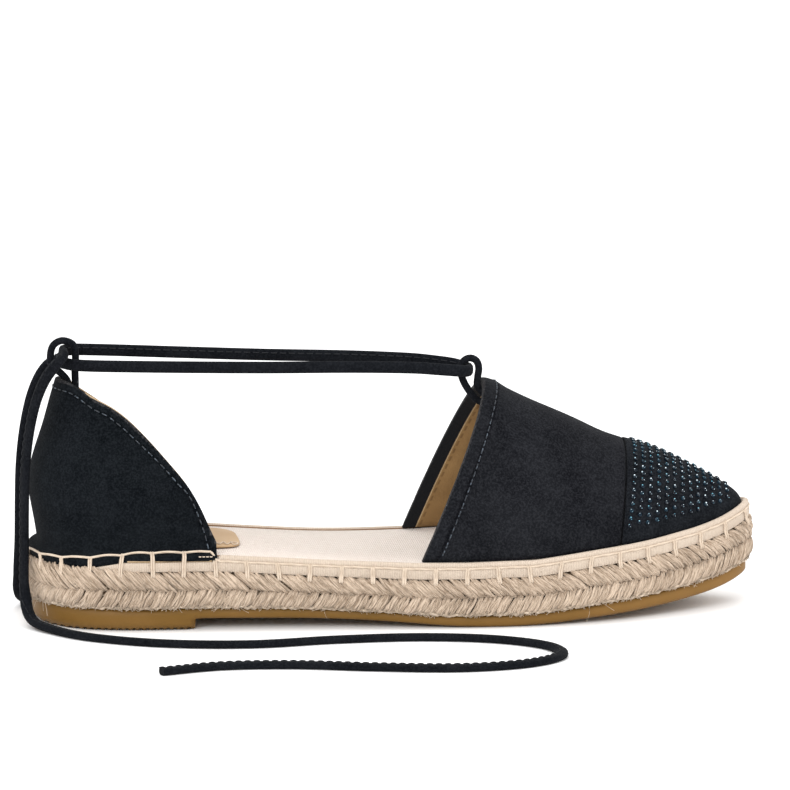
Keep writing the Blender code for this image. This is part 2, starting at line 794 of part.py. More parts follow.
def loop(name, shape, anchor, rise, finish):
    """Small sewn loop of cord in the plane of the shoe's length, from a table made for its rise."""
    scale = rise / shape["up"].max()
    x = anchor[0] + shape["forward"] * scale
    z = anchor[1] + shape["up"] * scale
    route = np.column_stack([x, np.zeros(len(x)), z])
    return cord(name, smooth_route(route, CORD_STEP * LOOP_CORD, cyclic=True), LOOP_CORD, finish, cyclic=True)


def eyes():
    """Where the tie runs through the throat loop and through the heel loop."""
    top_x, top_z = vamp_top()
    back_x, back_z = counter_top()
    throat = np.array([top_x + THROAT_EYE[0], 0, top_z + THROAT_EYE[1]])
    heel = np.array([back_x + HEEL_EYE[0], 0, back_z + HEEL_EYE[1]])
    return throat, heel


def tie_bars(finish):
    """The doubled tie: out through the heel loop, round through the throat loop and back."""
    throat, heel = eyes()
    low = heel - (0, 0, TIE_STACK)

    def bar(side, end):
        spots = [throat + (end - throat) * b + (0, side * s * MM, u * MM) for b, s, u in zip(*BARS.values())]
        return [*spots, end]

    near, far = bar(-1, low), bar(1, heel)
    line = smooth_route([*near[::-1], throat, *far], CORD_STEP * TIE_DIAMETER)
    past = np.array([0, TIE_PAST_LOOP, 0])
    return cord("tie_bars", [low + past, *line, heel - past], TIE_DIAMETER, finish)


def tie_end(name, route, side, finish):
    """Free end of the tie, from the heel loop down the outside of the counter and along the floor."""
    _, heel = eyes()
    start = heel - (0, 0, TIE_STACK if side > 0 else 0) + (0, side * (TIE_PAST_LOOP + SEAT_GAP), 0)
    lead = start + (0, side * TIE_DIAMETER, 0)
    line = smooth_route([lead, *(np.array(route) * MM)], TIE_END_STEP)
    return cord(name, [start, *line], TIE_DIAMETER, finish)


def clear_scene():
    for old in list(bpy.data.objects):
        bpy.data.objects.remove(old)


def build():
    clear_scene()
    gum = material("gum_rubber", (0.26, 0.14, 0.05), 0.55)
    jute = material("braided_jute", (0.60, 0.48, 0.34), 0.9)
    tape = material("cream_tape", (0.80, 0.70, 0.58), 0.85)
    canvas = material("insole_canvas", (0.82, 0.72, 0.62), 0.85)
    sock = material("tan_sock", (0.66, 0.43, 0.20), 0.7)
    suede = material("black_suede", (0.016, 0.018, 0.023), 0.95)
    cap_suede = material("toe_cap_suede", (0.014, 0.018, 0.026), 0.9)
    lace = material("suede_lace", (0.012, 0.014, 0.018), 0.9)
    outsole(gum)
    jute_midsole(jute)
    edge_binding(tape)
    insole(canvas)
    heel_pad(sock)
    vamp(suede)
    toe_cap(cap_suede)
    counter(suede)
    loop("throat_loop", THROAT_LOOP, vamp_top(), THROAT_LOOP_RISE, lace)
    loop("heel_loop", HEEL_LOOP, counter_top(), HEEL_LOOP_RISE, lace)
    tie_bars(lace)
    tie_end("tie_end_near", NEAR_END, -1, lace)
    tie_end("tie_end_far", FAR_END, 1, lace)


build()
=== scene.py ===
"""Looks of the ankle-tie espadrille, a right shoe, built round its CAD solids in metres.

The sections follow the shoe as it is put together: after the camera and the studio come the tie and its
loops, then the sole from the ground up, the insole, the vamp with its toe cap, and the counter.
"""

import json
import math

import bpy
import numpy as np
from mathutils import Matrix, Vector
from mathutils.bvhtree import BVHTree

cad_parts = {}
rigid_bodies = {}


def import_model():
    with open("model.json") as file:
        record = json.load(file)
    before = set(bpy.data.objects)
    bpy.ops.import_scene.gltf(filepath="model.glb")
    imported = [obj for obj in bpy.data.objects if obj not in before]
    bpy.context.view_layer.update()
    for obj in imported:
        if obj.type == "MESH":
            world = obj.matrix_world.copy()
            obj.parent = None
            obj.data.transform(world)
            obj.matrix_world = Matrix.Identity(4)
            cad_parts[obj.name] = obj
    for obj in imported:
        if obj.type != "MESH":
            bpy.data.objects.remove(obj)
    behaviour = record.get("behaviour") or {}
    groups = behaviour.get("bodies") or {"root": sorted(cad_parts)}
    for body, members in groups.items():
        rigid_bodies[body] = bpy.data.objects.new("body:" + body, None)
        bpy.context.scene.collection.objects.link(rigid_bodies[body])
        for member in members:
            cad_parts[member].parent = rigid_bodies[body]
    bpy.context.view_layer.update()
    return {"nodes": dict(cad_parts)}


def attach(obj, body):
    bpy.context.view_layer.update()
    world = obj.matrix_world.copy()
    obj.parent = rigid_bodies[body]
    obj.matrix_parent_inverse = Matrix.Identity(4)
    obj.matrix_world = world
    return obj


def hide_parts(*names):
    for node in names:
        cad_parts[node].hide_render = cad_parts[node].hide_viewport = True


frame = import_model()
bpy.ops.object.select_all(action="DESELECT")


# Camera: a long lens, low at the shoe's outer side and a little behind its middle, so that the toe points
# right.
MM = 0.001
azimuth, elevation, distance = math.radians(-6.5), math.radians(11.0), 6.0
aim = Vector((1.9 * MM, 0, 77.3 * MM))
level = math.cos(elevation)
back = Vector((math.sin(azimuth) * level, -math.cos(azimuth) * level, math.sin(elevation)))
turn = (-back).to_track_quat("-Z", "Y").to_euler()
bpy.ops.object.camera_add(location=aim + back * distance, rotation=turn)
camera = bpy.context.object
camera.data.lens = camera.data.sensor_width * distance / (280.0 * MM)
camera.data.clip_end = 60
bpy.context.scene.camera = camera


# Studio: a white paper floor under large soft lights, bright enough that only the contact shadow shows.
# One softbox hangs over the shoe, one stands in front of it and a weak one behind the toe.
def softbox(name, place, towards, size, power):
    turn = (Vector(towards) - Vector(place)).to_track_quat("-Z", "Y").to_euler()
    bpy.ops.object.light_add(type="AREA", location=place, rotation=turn)
    light = bpy.context.object
    light.name = name
    light.data.shape = "RECTANGLE"
    light.data.size, light.data.size_y = size
    light.data.energy = power


softbox("top_light", (-0.1, 0.1, 1.5), (0, 0, 0), (1.6, 1.2), 8)
softbox("front_light", (-0.7, -1.7, 1.1), (0, 0, 0.05), (1.2, 0.9), 24)
softbox("toe_light", (1.3, -0.2, 0.7), (0.05, 0, 0.05), (0.5, 0.7), 5)
world = bpy.data.worlds.new("studio")
world.use_nodes = True
world.node_tree.nodes["Background"].inputs["Color"].default_value = (1, 1, 1, 1)
world.node_tree.nodes["Background"].inputs["Strength"].default_value = 1.05
bpy.context.scene.world = world
bpy.context.scene.view_settings.view_transform = "Standard"

bpy.ops.mesh.primitive_plane_add(size=24)
floor = bpy.context.object
floor.name = "floor"
paper = bpy.data.materials.new("white_paper")
paper.use_nodes = True
paper.node_tree.nodes["Principled BSDF"].inputs["Base Color"].default_value = (0.95, 0.95, 0.95, 1)
paper.node_tree.nodes["Principled BSDF"].inputs["Roughness"].default_value = 0.9
paper.node_tree.nodes["Principled BSDF"].inputs["Specular IOR Level"].default_value = 0.1
floor.data.materials.append(paper)


# Ankle tie: one flat suede lace, folded and sewn along its edge. It runs doubled from the throat loop back
# through the heel loop. Its two free ends hang down the back of the shoe and lie on the floor.
LACE_WIDTH, LACE_THICKNESS = 4.3 * MM, 2.7 * MM


class Socket:
    """A shader socket that adds its Math nodes when it is used in an expression."""

    def __init__(self, finish, socket):
        self.finish, self.socket = finish, socket

    def math(self, operation, *values):
        return self.finish.node("ShaderNodeMath", {"operation": operation}, dict(enumerate(values)))

    def __add__(self, other):
        return self.math("ADD", self, other)

    def __sub__(self, other):
        return self.math("SUBTRACT", self, other)

    def __rsub__(self, other):
        return self.math("SUBTRACT", other, self)

    def __mul__(self, other):
        return self.math("MULTIPLY", self, other)

    __radd__ = __add__
    __rmul__ = __mul__

    def above(self, edge, blur):
        """0 below an edge and 1 above it, with a soft step."""
        sockets = {0: self, 1: edge - blur, 2: edge + blur, 3: 0.0, 4: 1.0}
        return self.finish.node("ShaderNodeMapRange", {"interpolation_type": "SMOOTHSTEP"}, sockets)


class Finish:
    """A finish being made: its shader's constants are set at once, and nodes are added by one method."""

    def __init__(self, name, **constants):
        self.material = bpy.data.materials.new(name)
        self.material.use_nodes = True
        self.tree = self.material.node_tree
        self.shader = self.tree.nodes["Principled BSDF"]
        for socket, value in constants.items():
            self.shader.inputs[socket.replace("_", " ")].default_value = value
        self.place = self.node("ShaderNodeTexCoord", {}, {}, "Object")

    def node(self, kind, settings, sockets, out=0):
        made = self.tree.nodes.new(kind)
        for name, value in settings.items():
            setattr(made, name, value)
        for key, value in sockets.items():
            self.feed(made.inputs[key], value)
        return Socket(self, made.outputs[out])

    def feed(self, target, value):
        if isinstance(value, Socket):
            self.tree.links.new(value.socket, target)
        else:
            target.default_value = value

    def noise(self, scale, detail=2.0, rough=0.5):
        sockets = {"Vector": self.place, "Scale": scale, "Detail": detail, "Roughness": rough}
        return self.node("ShaderNodeTexNoise", {}, sockets)

    def fibres(self, scale, detail, rough=0.5, turn=0.0):
        """Noise drawn out along the piece's own map, as fibres lie along a thread."""
        sockets = {"Vector": self.uv(), "Rotation": (0, 0, turn), "Scale": (*scale, 1)}
        spot = self.node("ShaderNodeMapping", {}, sockets)
        sockets = {"Vector": spot, "Scale": 1.0, "Detail": detail, "Roughness": rough}
        return self.node("ShaderNodeTexNoise", {}, sockets)

    def bands(self, place, pitch, **values):
        """Soft bands across X, a pitch apart."""
        sockets = {name.replace("_", " "): value for name, value in values.items()}
        sockets.update({"Vector": place, "Scale": 0.314 / pitch})
        return self.node("ShaderNodeTexWave", {"bands_direction": "X", "wave_profile": "SIN"}, sockets, "Fac")

    def coordinate(self, vector, axis):
        return self.node("ShaderNodeSeparateXYZ", {}, {"Vector": vector}, axis)

    def uv(self):
        return self.node("ShaderNodeUVMap", {"uv_map": "UVMap"}, {})

    def attribute(self, name):
        return self.node("ShaderNodeAttribute", {"attribute_name": name}, {}, "Fac")

    def mix(self, share, *colours):
        first, second = (value if isinstance(value, Socket) else (*value, 1) for value in colours)
        return self.node("ShaderNodeMix", {"data_type": "RGBA"}, {0: share, 6: first, 7: second}, 2)

    def finished(self, base, bump, height):
        """The material, once its colour and its relief, height deep, are joined to the shader."""
        self.feed(self.shader.inputs["Base Color"], base)
        normal = self.node("ShaderNodeBump", {}, {"Height": bump, "Distance": height})
        self.feed(self.shader.inputs["Normal"], normal)
        return self.material


def suede(name, dark, light, trough=None):
    """Brushed suede: matte, with a cloudy nap, short light fibres and a sheen. It dips along a sewn row,
    where its colour is darkened as painted shade.
    """
    made = Finish(name, Roughness=0.95, Sheen_Weight=0.03, Sheen_Roughness=0.4, Specular_IOR_Level=0.04)
    clouds = made.noise(70, 3)
    patches = made.noise(330, 2)
    fibres = made.noise(1350, 3, rough=0.75)
    shade = clouds.above(0.5, 0.25) * 0.3 + patches.above(0.5, 0.2) * 0.15 + fibres.above(0.52, 0.09) * 0.55
    height = fibres + clouds * 0.8
    if trough:
        inside = made.attribute("from_edge")
        dip = inside.above(trough - 0.5 * MM, 0.5 * MM) * (1 - inside.above(trough + 0.5 * MM, 0.5 * MM))
        # Along the row the colour is darkened as well as dipped: painted shade in the groove.
        shade, height = shade - dip * 0.35, height - dip * 1.2
        rim = 1 - inside.above(0.25 * MM, 0.15 * MM)
        light = made.mix(rim, light, (0.055, 0.053, 0.055))
    return made.finished(made.mix(shade, dark, light), height, 0.28 * MM)


lace_suede = suede("lace_suede", (0.0030, 0.0036, 0.0050), (0.0120, 0.0132, 0.0162))
UP = np.array([0.0, 0.0, 1.0])


def distances(path):
    """Distance of each point of a path, or of a stack of paths, from the first one along it."""
    steps = np.linalg.norm(np.diff(path, axis=-2), axis=-1)
    return np.concatenate([np.zeros((*steps.shape[:-1], 1)), np.cumsum(steps, axis=-1)], axis=-1)


def between(marks, run, values):
    """Values at marks along a run, each worked out from its two neighbours."""
    return np.stack([np.interp(marks, run, column) for column in values.T], axis=-1)


def smooth_route(points, step, cyclic=False):
    """Points a step apart on a smooth curve through a route."""
    points = np.array(points)
    ends = [points[-1], *points, points[0], points[1]] if cyclic else [points[0], *points, points[-1]]
    fine = []
    for a, b, c, d in zip(ends, ends[1:], ends[2:], ends[3:]):
        s = np.linspace(0, 1, 24, endpoint=False)[:, None]
        squared, cubed = 2 * a - 5 * b + 4 * c - d, 3 * b - a - 3 * c + d
        fine.append(0.5 * (2 * b + (c - a) * s + squared * s**2 + cubed * s**3))
    fine = np.vstack([*fine, ends[-2][None] if cyclic else points[-1:]])
    run = distances(fine)
    even = between(np.linspace(0, run[-1], round(run[-1] / step) + 1), run, fine)
    return even[:-1] if cyclic else even


def unit(vectors):
    return vectors / np.maximum(np.linalg.norm(vectors, axis=-1, keepdims=True), 1e-12)


def ring_quads(rows, sides, cyclic):
    """Corners of the quads between rings of points that follow each other."""
    i, j = np.meshgrid(np.arange(rows if cyclic else rows - 1), np.arange(sides), indexing="ij")
    ahead, beside = (i + 1) % rows, (j + 1) % sides
    corners = [i * sides + j, ahead * sides + j, ahead * sides + beside, i * sides + beside]
    return np.stack(corners, axis=-1).reshape(-1, 4)


def tube(path, thin, width, thickness, sides=12, cyclic=False, square=2.6):
    """Points, faces and map coordinates of an oval tube along each path. thin points across its thickness."""
    if cyclic:
        tangent = unit(np.roll(path, -1, axis=-2) - np.roll(path, 1, axis=-2))
    else:
        tangent = unit(np.gradient(path, axis=-2))
    thin = unit(thin - tangent * np.sum(thin * tangent, axis=-1, keepdims=True))
    wide = np.cross(tangent, thin)
    angle = np.linspace(0, 2 * math.pi, sides, endpoint=False)
    c, s = (np.sign(f(angle)) * np.abs(f(angle)) ** (2 / square) / 2 for f in (np.cos, np.sin))
    reach, depth = (np.broadcast_to(size, path.shape[:-1])[..., None, None] for size in (width, thickness))
    path, wide, thin = (vectors[..., None, :] for vectors in (path, wide, thin))
    rings = path + wide * reach * c[:, None] + thin * depth * s[:, None]
    rows = path.shape[-3]
    firsts = np.arange(rings.size // (rows * sides * 3))[:, None, None] * rows * sides
    faces = (firsts + ring_quads(rows, sides, cyclic)).reshape(-1, 4).tolist()
    if not cyclic:
        caps = np.array([np.arange(sides), np.arange(rows * sides - 1, (rows - 1) * sides - 1, -1)])
        faces += (firsts + caps).reshape(-1, sides).tolist()
    run = distances(path[..., 0, :])[..., None]
    maps = np.stack(np.broadcast_arrays(run, angle / (2 * math.pi)), axis=-1)
    return rings.reshape(-1, 3), faces, maps.reshape(-1, 2)


def alone(piece):
    """Selects one piece and nothing else."""
    bpy.ops.object.select_all(action="DESELECT")
    piece.select_set(True)
    bpy.context.view_layer.objects.active = piece


def joined(name, parts, finish):
    """One piece from several parts, each with its points, faces and map coordinates, riding on the shoe."""
    points = np.vstack([part[0] for part in parts])
    maps = np.vstack([part[2] for part in parts])
    starts = np.cumsum([0] + [len(part[0]) for part in parts]).tolist()
    faces = [[start + corner for corner in face] for start, part in zip(starts, parts) for face in part[1]]
    data = bpy.data.meshes.new(name)
    data.from_pydata(points.tolist(), [], faces)
    layer = data.uv_layers.new(name="UVMap")
    corners = np.empty(len(data.loops), np.int32)
    data.loops.foreach_get("vertex_index", corners)
    layer.data.foreach_set("uv", maps[corners].astype(np.float32).ravel())
    piece = bpy.data.objects.new(name, data)
    bpy.context.scene.collection.objects.link(piece)
    alone(piece)
    bpy.ops.object.shade_smooth_by_angle(angle=math.radians(50))
    data.materials.append(finish)
    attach(piece, "root")
    return piece


def even_row(points, normals, pitch, start=0.0):
    """Points, tangents and normals a pitch apart along a row found on a surface."""
    run = distances(points)
    marks = np.arange(start, run[-1], pitch)
    at, ahead = between(marks, run, points), between(marks + 0.2 * MM, run, points)
    return at, unit(ahead - at + 1e-9), unit(between(marks, run, normals))


def stitches(row, length, width, proud):
    """Sewing thread showing as short stitches along a row of points, tangents and normals."""
    at, along, up = (vectors[:, None] for vectors in row)
    reach = np.linspace(-0.5, 0.5, 6)[:, None]
    height = np.array([-0.55, 0.25, 0.62, 0.62, 0.25, -0.55])[:, None]
    path = at + along * reach * length + up * height * proud
    return tube(path, up, width, width, sides=6, square=2.0)


sewing = Finish("black_thread", Roughness=0.6, Specular_IOR_Level=0.2)
twist = sewing.noise(1100, 2)
sewing_colour = sewing.mix(twist, (0.003, 0.004, 0.005), (0.015, 0.017, 0.021))
black_thread = sewing.finished(sewing_colour, twist, 0.1 * MM)
LACE_STITCH, LACE_ROW = 3.2 * MM, 0.9 * MM


def lace_row(path, thin):
    """The sewn row along a lace's outer face, beside its middle."""
    tangent = unit(np.gradient(path, axis=0))
    thin = unit(thin - tangent * np.sum(thin * tangent, axis=1, keepdims=True))
    on_face = path + thin * (LACE_THICKNESS / 2) + np.cross(tangent, thin) * LACE_ROW
    return stitches(even_row(on_face, thin, LACE_STITCH, 2 * MM), 2.2 * MM, 0.4 * MM, 0.18 * MM)


THROAT_EYE = np.array([28.5, 0, 86.1]) * MM
HEEL_EYE = np.array([-116.5, 0, 95.6]) * MM
STACK = np.array([0, 0, 3.95]) * MM
PAST_LOOP = 5.0 * MM
BARS = (
    (0.010, 3.8, 0.0), (0.035, 6.2, 0.5), (0.080, 7.0, 1.0), (0.150, 7.2, 1.5), (0.300, 7.3, 1.4),
    (0.500, 7.1, 0.7), (0.700, 6.9, 0.3), (0.850, 6.5, 0.1), (0.930, 5.9, 0.0), (0.975, 4.6, 0.0),
    (0.992, 2.2, 0.0),
)


def bar(side, end):
    """Route of one of the two runs between the loops, from the throat loop to its end."""
    spots = [THROAT_EYE + (end - THROAT_EYE) * b + np.array([0, side * s, u]) * MM for b, s, u in BARS]
    return [*spots, end]


near_bar, far_bar = bar(-1, HEEL_EYE - STACK), bar(1, HEEL_EYE)
past = np.array([0, PAST_LOOP, 0])
route = [HEEL_EYE - STACK + past, *near_bar[::-1], THROAT_EYE, *far_bar, HEEL_EYE - past]
doubled = smooth_route(route, 1.5 * MM)
sideways = np.cross(UP, np.gradient(doubled, axis=0))
lace_rows = [lace_row(doubled, sideways)]
lace = [tube(doubled, sideways, LACE_WIDTH, LACE_THICKNESS)]
tie_bars = joined("lace_bars", lace, lace_suede)
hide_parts("tie_bars")

NEAR_END = (
    (-119.6, -12.0, 93.4), (-123.6, -12.8, 88.4), (-127.0, -12.2, 80.0), (-129.4, -11.2, 68.0),
    (-130.7, -10.6, 55.0), (-131.1, -10.6, 41.0), (-131.2, -11.0, 27.0), (-131.4, -13.0, 13.5),
    (-129.8, -18.4, 4.2), (-124.0, -29.0, 2.3), (-110.0, -44.5, 1.9), (-85.0, -57.5, 1.9),
    (-55.0, -62.0, 1.9), (-26.0, -57.5, 1.9), (3.0, -56.5, 1.9), (29.0, -62.5, 1.9), (47.0, -76.0, 1.9),
    (50.0, -93.0, 1.9), (36.0, -106.0, 1.9), (12.0, -110.5, 1.9), (-16.0, -106.0, 1.9),
    (-44.0, -99.0, 1.9), (-70.0, -98.0, 1.9), (-92.0, -105.0, 1.9),
)
FAR_END = (
    (-119.6, 12.0, 89.8), (-123.4, 12.8, 85.0), (-126.8, 12.2, 77.0), (-129.3, 11.2, 66.0),
    (-130.7, 10.6, 54.0), (-131.1, 10.6, 41.0), (-131.2, 11.0, 27.0), (-131.4, 13.0, 13.5),
    (-129.6, 18.6, 4.2), (-123.0, 29.5, 2.3), (-100.0, 43.5, 1.9), (-70.0, 50.0, 1.9),
    (-42.0, 46.5, 1.9), (-14.0, 48.0, 1.9), (10.0, 58.0, 1.9), (24.0, 74.0, 1.9), (14.0, 89.0, 1.9),
    (-10.0, 93.0, 1.9), (-38.0, 86.0, 1.9), (-66.0, 80.0, 1.9), (-92.0, 85.0, 1.9), (-108.0, 97.0, 1.9),
)


def eased(share):
    """A share held between 0 and 1, eased at both ends."""
    share = np.clip(share, 0, 1)
    return share * share * (3 - 2 * share)


def free_end(name, node, route, side):
    """One free end of the lace, flat against the counter as it hangs and flat on the floor as it lies."""
    start = HEEL_EYE - (STACK if side > 0 else 0) + (0, side * (PAST_LOOP + 0.3 * MM), 0)
    lead = start + (0, side * 3.6 * MM, 0)
    path = smooth_route([start, lead, *(np.array(route) * MM)], 2.0 * MM)
    outwards = path - (-0.105, 0, 0)
    outwards[:, 2] = 0
    hanging = eased((path[:, 2:] / MM - 4) / 16)
    thin = unit(outwards) * hanging + UP * (1 - hanging)
    path[:, 2] = np.maximum(path[:, 2] - 0.5 * MM * (1 - hanging[:, 0]), LACE_THICKNESS / 2 + 0.02 * MM)
    piece = joined(name, [tube(path, thin, LACE_WIDTH, LACE_THICKNESS)], lace_suede)
    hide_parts(node)
    lace_rows.append(lace_row(path, thin))


free_end("lace_end_near", "tie_end_near", NEAR_END, -1)
free_end("lace_end_far", "tie_end_far", FAR_END, 1)
joined("lace_stitches", lace_rows, black_thread)


# Loops: two short doubled cords of the same suede, which the lace runs through. One is caught in the seam at
# the top of the counter, and the other in that at the top of the vamp.
HEEL_LOOP = (
    (5.9, -7.6), (4.6, -5.4), (4.6, -1.0), (2.4, 2.0), (-0.9, 4.9), (-1.5, 8.4), (-0.5, 12.2),
    (2.7, 13.9), (6.5, 12.4), (7.4, 8.4), (7.2, 3.7), (7.3, -1.0), (7.2, -5.4),
)
THROAT_LOOP = (
    (3.2, -7.0), (0.4, -5.6), (-2.3, -2.6), (-2.3, 0.8), (-1.9, 4.0), (-2.8, 6.7), (-5.2, 7.7),
    (-7.5, 6.5), (-8.4, 3.6), (-7.7, 0.2), (-5.7, -3.6), (-2.3, -7.6), (3.2, -9.4),
)


def cord_loop(name, node, route, anchor):
    """One loop, standing in the shoe's middle plane over its anchor."""
    route = np.array([(anchor[0] + f, 0, anchor[1] + u) for f, u in route]) * MM
    path = smooth_route(route, 0.8 * MM, cyclic=True)
    ring = tube(path, np.array([0.0, 1.0, 0.0]), 2.6 * MM, 2.7 * MM, cyclic=True, square=2.2)
    piece = joined(name, [ring], lace_suede)
    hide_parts(node)


cord_loop("heel_cord_loop", "heel_loop", HEEL_LOOP, (-119.2, 85.6))
cord_loop("throat_cord_loop", "throat_loop", THROAT_LOOP, (33.7, 82.4))

# Outsole: one moulding of gum rubber, a thin plate with toe spring and a low heel block with a rounded edge.
# Straight grooves cross the heel block's underside and show at its lower edge. The forefoot's tread is a
# shallow wave pattern.
SOLE_LENGTH, BALL_WIDTH, HEEL_WIDTH = 258.2 * MM, 77.0 * MM, 62.0 * MM
HEEL_LIFT, TOE_SPRING, OUTSOLE_THICKNESS, JUTE_HEIGHT = 4.1 * MM, 13.0 * MM, 4.6 * MM, 13.4 * MM
SEAT_GAP, INSOLE_THICKNESS, UPPER_INSET = 0.3 * MM, 5.1 * MM, 3.4 * MM
PLAN = np.transpose(
    (
        (0.012, 0.0, 0.218, 0.218), (0.050, 0.0, 0.405, 0.405), (0.120, 0.0, 0.500, 0.497),
        (0.235, 0.0, 0.515, 0.480), (0.390, 0.3, 0.512, 0.412), (0.450, 0.5, 0.510, 0.412),
        (0.520, 0.8, 0.505, 0.440), (0.590, 1.0, 0.503, 0.470), (0.660, 1.0, 0.506, 0.492),
        (0.714, 1.0, 0.494, 0.490), (0.756, 1.0, 0.472, 0.474), (0.798, 1.0, 0.437, 0.442),
        (0.841, 1.0, 0.388, 0.394), (0.883, 1.0, 0.325, 0.330), (0.926, 1.0, 0.249, 0.254),
        (0.960, 1.0, 0.181, 0.185), (0.983, 1.0, 0.121, 0.123),
    )
)
PROFILE = np.transpose(
    (
        (0.000, 1.00, 0.00, 0.87, 0.985), (0.237, 1.00, 0.00, 0.80, 0.985),
        (0.312, 0.97, 0.00, 0.77, 0.93), (0.409, 0.86, 0.00, 0.71, 0.88),
        (0.505, 0.50, 0.00, 0.70, 0.92), (0.575, 0.08, 0.00, 0.84, 0.985),
        (0.602, 0.00, 0.00, 0.90, 0.99), (0.679, 0.00, 0.00, 0.98, 0.99),
        (0.715, 0.00, 0.06, 1.00, 0.99), (0.756, 0.00, 0.13, 1.03, 1.00),
        (0.798, 0.00, 0.19, 1.05, 1.01), (0.841, 0.00, 0.27, 1.05, 1.01),
        (0.883, 0.00, 0.37, 1.05, 1.02), (0.926, 0.00, 0.50, 1.00, 1.04),
        (0.960, 0.00, 0.66, 0.97, 1.06), (0.983, 0.00, 0.84, 0.90, 1.07),
        (1.000, 0.00, 1.00, 0.80, 1.07),
    )
)


def curve_through(xs, ys, at):
    """Smooth curve through points with rising xs, level wherever its neighbours turn back or lie level."""
    secants = np.diff(ys) / np.diff(xs)
    slopes = np.gradient(ys, xs)
    slopes[1:-1][secants[1:] * secants[:-1] <= 0] = 0
    at = np.clip(at, xs[0], xs[-1])
    i = np.clip(np.searchsorted(xs, at) - 1, 0, len(xs) - 2)
    step = xs[i + 1] - xs[i]
    s = (at - xs[i]) / step
    ends = (1 + 2 * s) * (1 - s) ** 2 * ys[i] + s * s * (3 - 2 * s) * ys[i + 1]
    return ends + step * (s * (1 - s) ** 2 * slopes[i] - s * s * (1 - s) * slopes[i + 1])


def outline(turns):
    """The sole's plan at turns from 0 at the heel to the toe, -1 by the outer side and 1 by the inner."""
    rows = np.arccos(1 - 2 * PLAN[0]) / math.pi
    width = HEEL_WIDTH + (BALL_WIDTH - HEEL_WIDTH) * PLAN[1]
    lateral, medial = -PLAN[2] * width, PLAN[3] * width
    xs = np.concatenate([rows[-2:] - 2, [-1], -rows[::-1], [0], rows, [1], 2 - rows[:-3:-1]])
    ys = np.concatenate([medial[-2:], [0], lateral[::-1], [0], medial, [0], lateral[:-3:-1]])
    x = -SOLE_LENGTH / 2 * np.cos(math.pi * np.abs(turns))
    return np.stack([x, curve_through(xs, ys, turns)], axis=-1)


FINE_TURNS = np.linspace(-1, 1, 2401)[:-1]
FINE_OUTLINE = outline(FINE_TURNS)
fine_tangent = np.roll(FINE_OUTLINE, -1, axis=0) - np.roll(FINE_OUTLINE, 1, axis=0)
FINE_INWARD = unit(np.stack([fine_tangent[:, 1], -fine_tangent[:, 0]], axis=-1))
fine_steps = np.linalg.norm(np.diff(FINE_OUTLINE, axis=0, append=FINE_OUTLINE[:1]), axis=1)
FINE_RUN = np.concatenate([[0], np.cumsum(fine_steps)])
AROUND = FINE_RUN[-1]


def turn_at_run(run):
    """Turn of the outline after a distance from the toe, first back along the little toe side."""
    return np.interp(np.asarray(run) % AROUND, FINE_RUN, np.append(FINE_TURNS, 1))


def plan_at(turns, inset):
    """Plan points at signed turns, moved into the sole by an inset."""
    across = [np.interp(turns, FINE_TURNS, FINE_INWARD[:, k], period=2) for k in (0, 1)]
    return outline(turns) + np.stack(across, axis=-1) * np.asarray(inset)[..., None]


def profile(column, x):
    return curve_through(PROFILE[0], PROFILE[column], np.asarray(x) / SOLE_LENGTH + 0.5)


def outsole_top(x):
    return HEEL_LIFT * profile(1, x) + TOE_SPRING * profile(2, x) + OUTSOLE_THICKNESS * profile(3, x)


def jute_bottom(x):
    return outsole_top(x) + SEAT_GAP


def jute_top(x):
    return jute_bottom(x) + JUTE_HEIGHT * profile(4, x)


def insole_bottom(x):
    return jute_top(x) + SEAT_GAP


def insole_top(x):
    return insole_bottom(x) + INSOLE_THICKNESS


def refined(node, name, levels, finish, crease=0.8, sharp=35):
    """A finer copy of a CAD solid: merged, its triangles paired into quads and its sharp edges kept crisp."""
    piece = bpy.data.objects.new(name, frame["nodes"][node].data.copy())
    bpy.context.scene.collection.objects.link(piece)
    alone(piece)
    bpy.ops.object.mode_set(mode="EDIT")
    bpy.ops.mesh.select_all(action="SELECT")
    bpy.ops.mesh.remove_doubles(threshold=0.002 * MM)
    bpy.ops.mesh.tris_convert_to_quads(face_threshold=math.radians(60), shape_threshold=math.radians(60))
    bpy.ops.mesh.select_all(action="DESELECT")
    bpy.ops.mesh.select_mode(type="EDGE")
    bpy.ops.mesh.edges_select_sharp(sharpness=math.radians(sharp))
    bpy.ops.transform.edge_crease(value=crease)
    bpy.ops.mesh.select_mode(type="VERT")
    bpy.ops.object.mode_set(mode="OBJECT")
    bpy.ops.object.modifier_add(type="SUBSURF")
    fine = piece.modifiers[-1]
    fine.levels = fine.render_levels = levels
    bpy.ops.object.modifier_apply(modifier=fine.name)
    bpy.ops.object.shade_smooth_by_angle(angle=math.radians(50))
    piece.data.materials.clear()
    piece.data.materials.append(finish)
    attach(piece, "root")
    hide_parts(node)
    return piece


gum = Finish("gum_rubber", Roughness=0.5, Specular_IOR_Level=0.2)
gum_clouds = gum.noise(35, 3)
gum_grain = gum.noise(900, 2)
gum_wave = gum.bands(gum.place, 3.2 * MM, Distortion=2.5, Detail=0.0, Detail_Scale=0.4)
gum_facing = gum.coordinate(gum.node("ShaderNodeNewGeometry", {}, {}, "Normal"), 2)
gum_under = (0 - gum_facing).above(0.9, 0.06)
gum_height = gum_grain * 0.1 + gum_clouds * 0.2 + gum_wave * gum_under
gum_toe = gum.coordinate(gum.place, 0).above(0.085, 0.05)
gum_shade = gum_clouds.above(0.5, 0.25) * 0.35 + gum_toe * 0.55 - gum_under * gum_wave.above(0.4, 0.3) * 0.3
gum_colour = gum.mix(gum_shade, (0.148, 0.075, 0.012), (0.240, 0.124, 0.034))
gum_finish = gum.finished(gum_colour, gum_height, 0.6 * MM)
outsole = refined("outsole", "gum_outsole", 2, gum_finish, crease=0.75)
